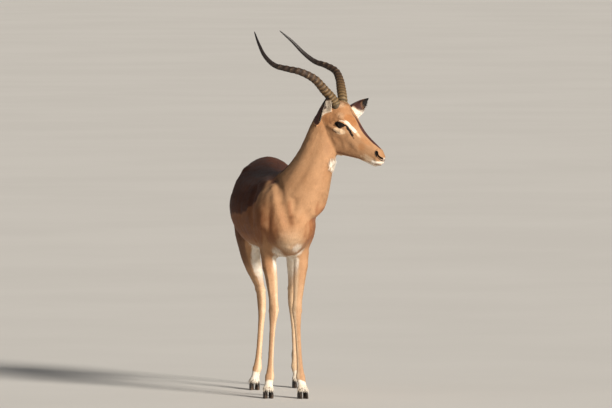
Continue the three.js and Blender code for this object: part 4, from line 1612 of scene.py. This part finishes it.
def claw_finish():
    """Black horn with growth lines, dusty towards the ground."""
    f = Finish("claw_horn", roughness=0.42, specular=0.4)
    here = f.here()
    lines = f.noise(f.scaled(here, (60, 60, 420)), 1.0, 3.0)
    cloud = f.noise(here, 85.0, 4.0)
    colour = f.mix(f.remap(lines, 0.35, 0.7), (0.016, 0.013, 0.012), (0.050, 0.038, 0.030))
    height = f.add("ShaderNodeSeparateXYZ", Vector=here).outputs["Z"]
    dust = f.times(f.remap(height, 0.020, 0.0, 0.0, 0.8), f.remap(cloud, 0.35, 0.7))
    colour = f.mix(dust, colour, (0.20, 0.125, 0.080))
    return f.finish(colour, f.remap(cloud, 0.3, 0.7, 0.34, 0.6), f.plus(lines, cloud), 0.4, 0.0006)


def eye_finish():
    """A near-black brown eye with a long level pupil under a wet surface."""
    f = Finish("eye_wet", roughness=0.12, specular=0.22, Coat_Weight=0.12, Coat_Roughness=0.05)
    away, u, v, _ = f.parts("iris")
    across = f.times(f.minus(u, 0.5), 1.55)
    high = f.times(f.minus(v, 0.5), 3.1)
    oval = f.math("SQRT", f.plus(f.times(across, across), f.times(high, high)))
    rays = f.noise(f.here(), 700.0, 3.0)
    iris = f.mix(f.remap(rays, 0.3, 0.7), (0.014, 0.007, 0.004), (0.008, 0.004, 0.003))
    colour = f.mix(f.remap(oval, 0.36, 0.44), (0.003, 0.003, 0.004), iris)
    colour = f.mix(f.remap(away, 0.70, 0.80), colour, (0.012, 0.008, 0.007))
    colour = f.mix(f.remap(away, 0.98, 1.08), colour, (0.17, 0.115, 0.09))
    return f.finish(colour, None, f.noise(f.here(), 260.0, 2.0), 0.03, 0.0002)


def floor_finish():
    f = Finish("pale_floor", roughness=0.85, specular=0.2)
    here = f.here()
    broad = f.noise(here, 0.6, 3.0)
    grain = f.noise(here, 60.0, 3.0)
    colour = f.mix(f.remap(broad, 0.3, 0.7), (0.68, 0.665, 0.64), (0.71, 0.695, 0.67))
    return f.finish(colour, None, grain, 0.05, 0.001)


# ---------------------------------------------------------------- stage, light and camera


# Each sun's direction, strength, width in degrees and colour.
SUNS = {
    "key": ((0.47, -0.81, 0.38), 5.7, 14, (1.0, 0.93, 0.83)),
    "fill": ((-0.75, -0.85, 0.65), 0.05, 60, (0.95, 0.97, 1.0)),
    "back": ((0.1, 1.0, 0.9), 0.2, 50, (1.0, 0.98, 0.95)),
}
SKY, SKY_STRENGTH = (0.96, 0.97, 1.0), 0.10
FLOOR_SIZE = 400  # metres

CAMERA_AT = (-4438.709, -39981.529, 2500.655)
LOOKS_AT = (85.110, -276.481, 755.880)
FOCAL_LENGTH, SENSOR_WIDTH = 603.318, 36.0


def set_stage():
    deselect()
    bpy.ops.mesh.primitive_grid_add(x_subdivisions=8, y_subdivisions=8, size=FLOOR_SIZE)
    floor = bpy.context.object
    floor.name = floor.data.name = "floor"
    floor.data.materials.append(floor_finish())
    world = bpy.data.worlds.new("studio")
    world.use_nodes = True
    bpy.context.scene.world = world
    back = world.node_tree.nodes["Background"]
    back.inputs["Color"].default_value = (*SKY, 1)
    back.inputs["Strength"].default_value = SKY_STRENGTH
    for name, (way, strength, soft, tone) in SUNS.items():
        lamp = bpy.data.lights.new(name, "SUN")
        lamp.energy, lamp.angle, lamp.color = strength, math.radians(soft), tone
        o = bpy.data.objects.new(name, lamp)
        o.rotation_euler = Vector(way).to_track_quat("Z", "Y").to_euler()
        o.location = Vector(way) * 5
        bpy.context.scene.collection.objects.link(o)
    bpy.context.scene.view_settings.view_transform = "Standard"


def set_camera():
    """Forty metres away, with a long lens."""
    eye, target = np.array(CAMERA_AT), np.array(LOOKS_AT)
    lens = bpy.data.cameras.new("camera")
    lens.lens, lens.sensor_width = FOCAL_LENGTH, SENSOR_WIDTH
    lens.clip_start, lens.clip_end = 1.0, 600.0
    cam = bpy.data.objects.new("camera", lens)
    cam.location = placed(eye)
    cam.rotation_euler = Vector(target - eye).to_track_quat("-Z", "Y").to_euler()
    bpy.context.scene.collection.objects.link(cam)
    bpy.context.scene.camera = cam


# ---------------------------------------------------------------- making the ram


def by_eye(q, within, beyond):
    """Places round the rim of the eye's opening."""
    _, _, outside = eye_places(q)
    return (outside < beyond) & (outside > -within) & (q[:, 0] > 30) & (np.abs(q[:, 1]) < 45)


def fine_places(p):
    q = mirrored(on_head(p))
    return by_eye(q, 6, 17) | (along_line(q, NOSTRIL)[0] < 8) | (along_line(q, MOUTH)[0] < 6)


def finest_places(p):
    return by_eye(mirrored(on_head(p)), 3, 4.5)


def even_out(skin, share):
    """Softens the facets that the CAD shapes leave, most where two of them meet."""
    a, b = edges_of(skin).T
    degree = degrees(a, b, len(share))
    co = drawn(places(skin))
    legs, ears = belongs(share, *LEGS), belongs(share, EAR_L, EAR_R)
    trunk, neck, head, tail = (share[:, k] for k in (TRUNK, NECK, HEAD, TAIL))
    upper = step(480, 560, co[:, 2])
    rounds = 14 * trunk + 14 * neck + legs * (7 + 7 * upper) + 26 * head + 3 * ears + 5 * tail
    finer_cast = (co - NECK_CUT[0]) @ NECK_CUT[1] > 0
    rounds = np.where((neck > 0.3) & finer_cast, np.maximum(rounds, 30), rounds)
    co = soften(co, a, b, degree, rounds)
    grouped = np.stack([trunk, neck, head, legs, tail, ears], 1)
    border = np.clip((1 - grouped.max(1)) * 3, 0, 1) * np.where(ears > 0.05, 0.5, 1)
    for _ in range(16):
        co += 0.5 * border[:, None] * (mean_of_neighbours(co, a, b, degree) - co)
    set_places(skin, placed(co))


def make_skin():
    tree, zones = flesh_tree()
    skin = cast_skin()
    even_out(skin, zone_shares(skin, tree, zones))
    refine(skin, fine_places)
    refine(skin, finest_places)

    # sunk by the depth of the coat
    share = zone_shares(skin, tree, zones)
    body = Body(skin, share)
    low = belongs(share, *LEGS) * step(560, 460, body.co[:, 2])
    ears = belongs(share, EAR_L, EAR_R)
    depth = 3.0 - 1.4 * low - 1.9 * share[:, HEAD] - 2.2 * ears + 3.5 * share[:, TAIL]
    body.co = body.co - body.n * depth[:, None]
    set_places(skin, placed(body.co))
    body.n = facing(skin)
    lines = leg_lines(body.co, share)
    shape_trunk(body)
    shape_neck(body)
    shape_legs(body, lines)
    body.settle()
    shape_head(body)
    open_eyes(body)
    mark = markings(body.co, body.n, share, lines)
    write_colours(skin.data, "marks_a", [mark[k] for k in MARKS_A])
    write_colours(skin.data, "marks_b", [mark[k] for k in MARKS_B])
    hanging = belongs(share, *LEGS) + share[:, TAIL]
    facial = np.clip(belongs(share, HEAD, EAR_L, EAR_R), 0, 1)
    write_colours(skin.data, "zones", [share[:, TRUNK], hanging, share[:, NECK], facial])
    choose(skin)
    bpy.ops.object.shade_smooth()
    return skin, body, lines, mark


set_camera()
set_stage()

skin, body, lines, mark = make_skin()
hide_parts(*FLESH)
wear(skin, coat_finish("short_coat", False))

tuft_finish = coat_finish("coat_tufts", True)
lie = lie_of(body.co, body.n, body.share)
tufts = grow_coat(body, lines, mark, lie, coat_of(body.co, body.n, body.share, mark))
tufts += [make_lashes(-1, "right"), make_lashes(1, "left")]
for piece in tufts:
    wear(piece, tuft_finish)

wet, ringed, hard = eye_finish(), horn_finish(), claw_finish()
pieces = {"coat": [skin, *tufts], "eye": [], "horn": [], "hoof": []}
for side, s in (("left", 1), ("right", -1)):
    eyeball = wear(make_eye(f"eyeball_{side}", s), wet)
    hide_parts(f"eye_{side}")
    pieces["eye"].append(eyeball)
    horn = wear(make_horn(f"ringed_horn_{side}", HORN_PATHS[side]), ringed)
    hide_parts(f"horn_{side}")
    pieces["horn"].append(horn)
for node in sorted(n for n in frame["nodes"] if "claw" in n):
    claw = wear(make_claw(node), hard)
    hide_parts(node)
    pieces["hoof"].append(claw)
for slot, group in pieces.items():
    for piece in group:
        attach(piece, "root")
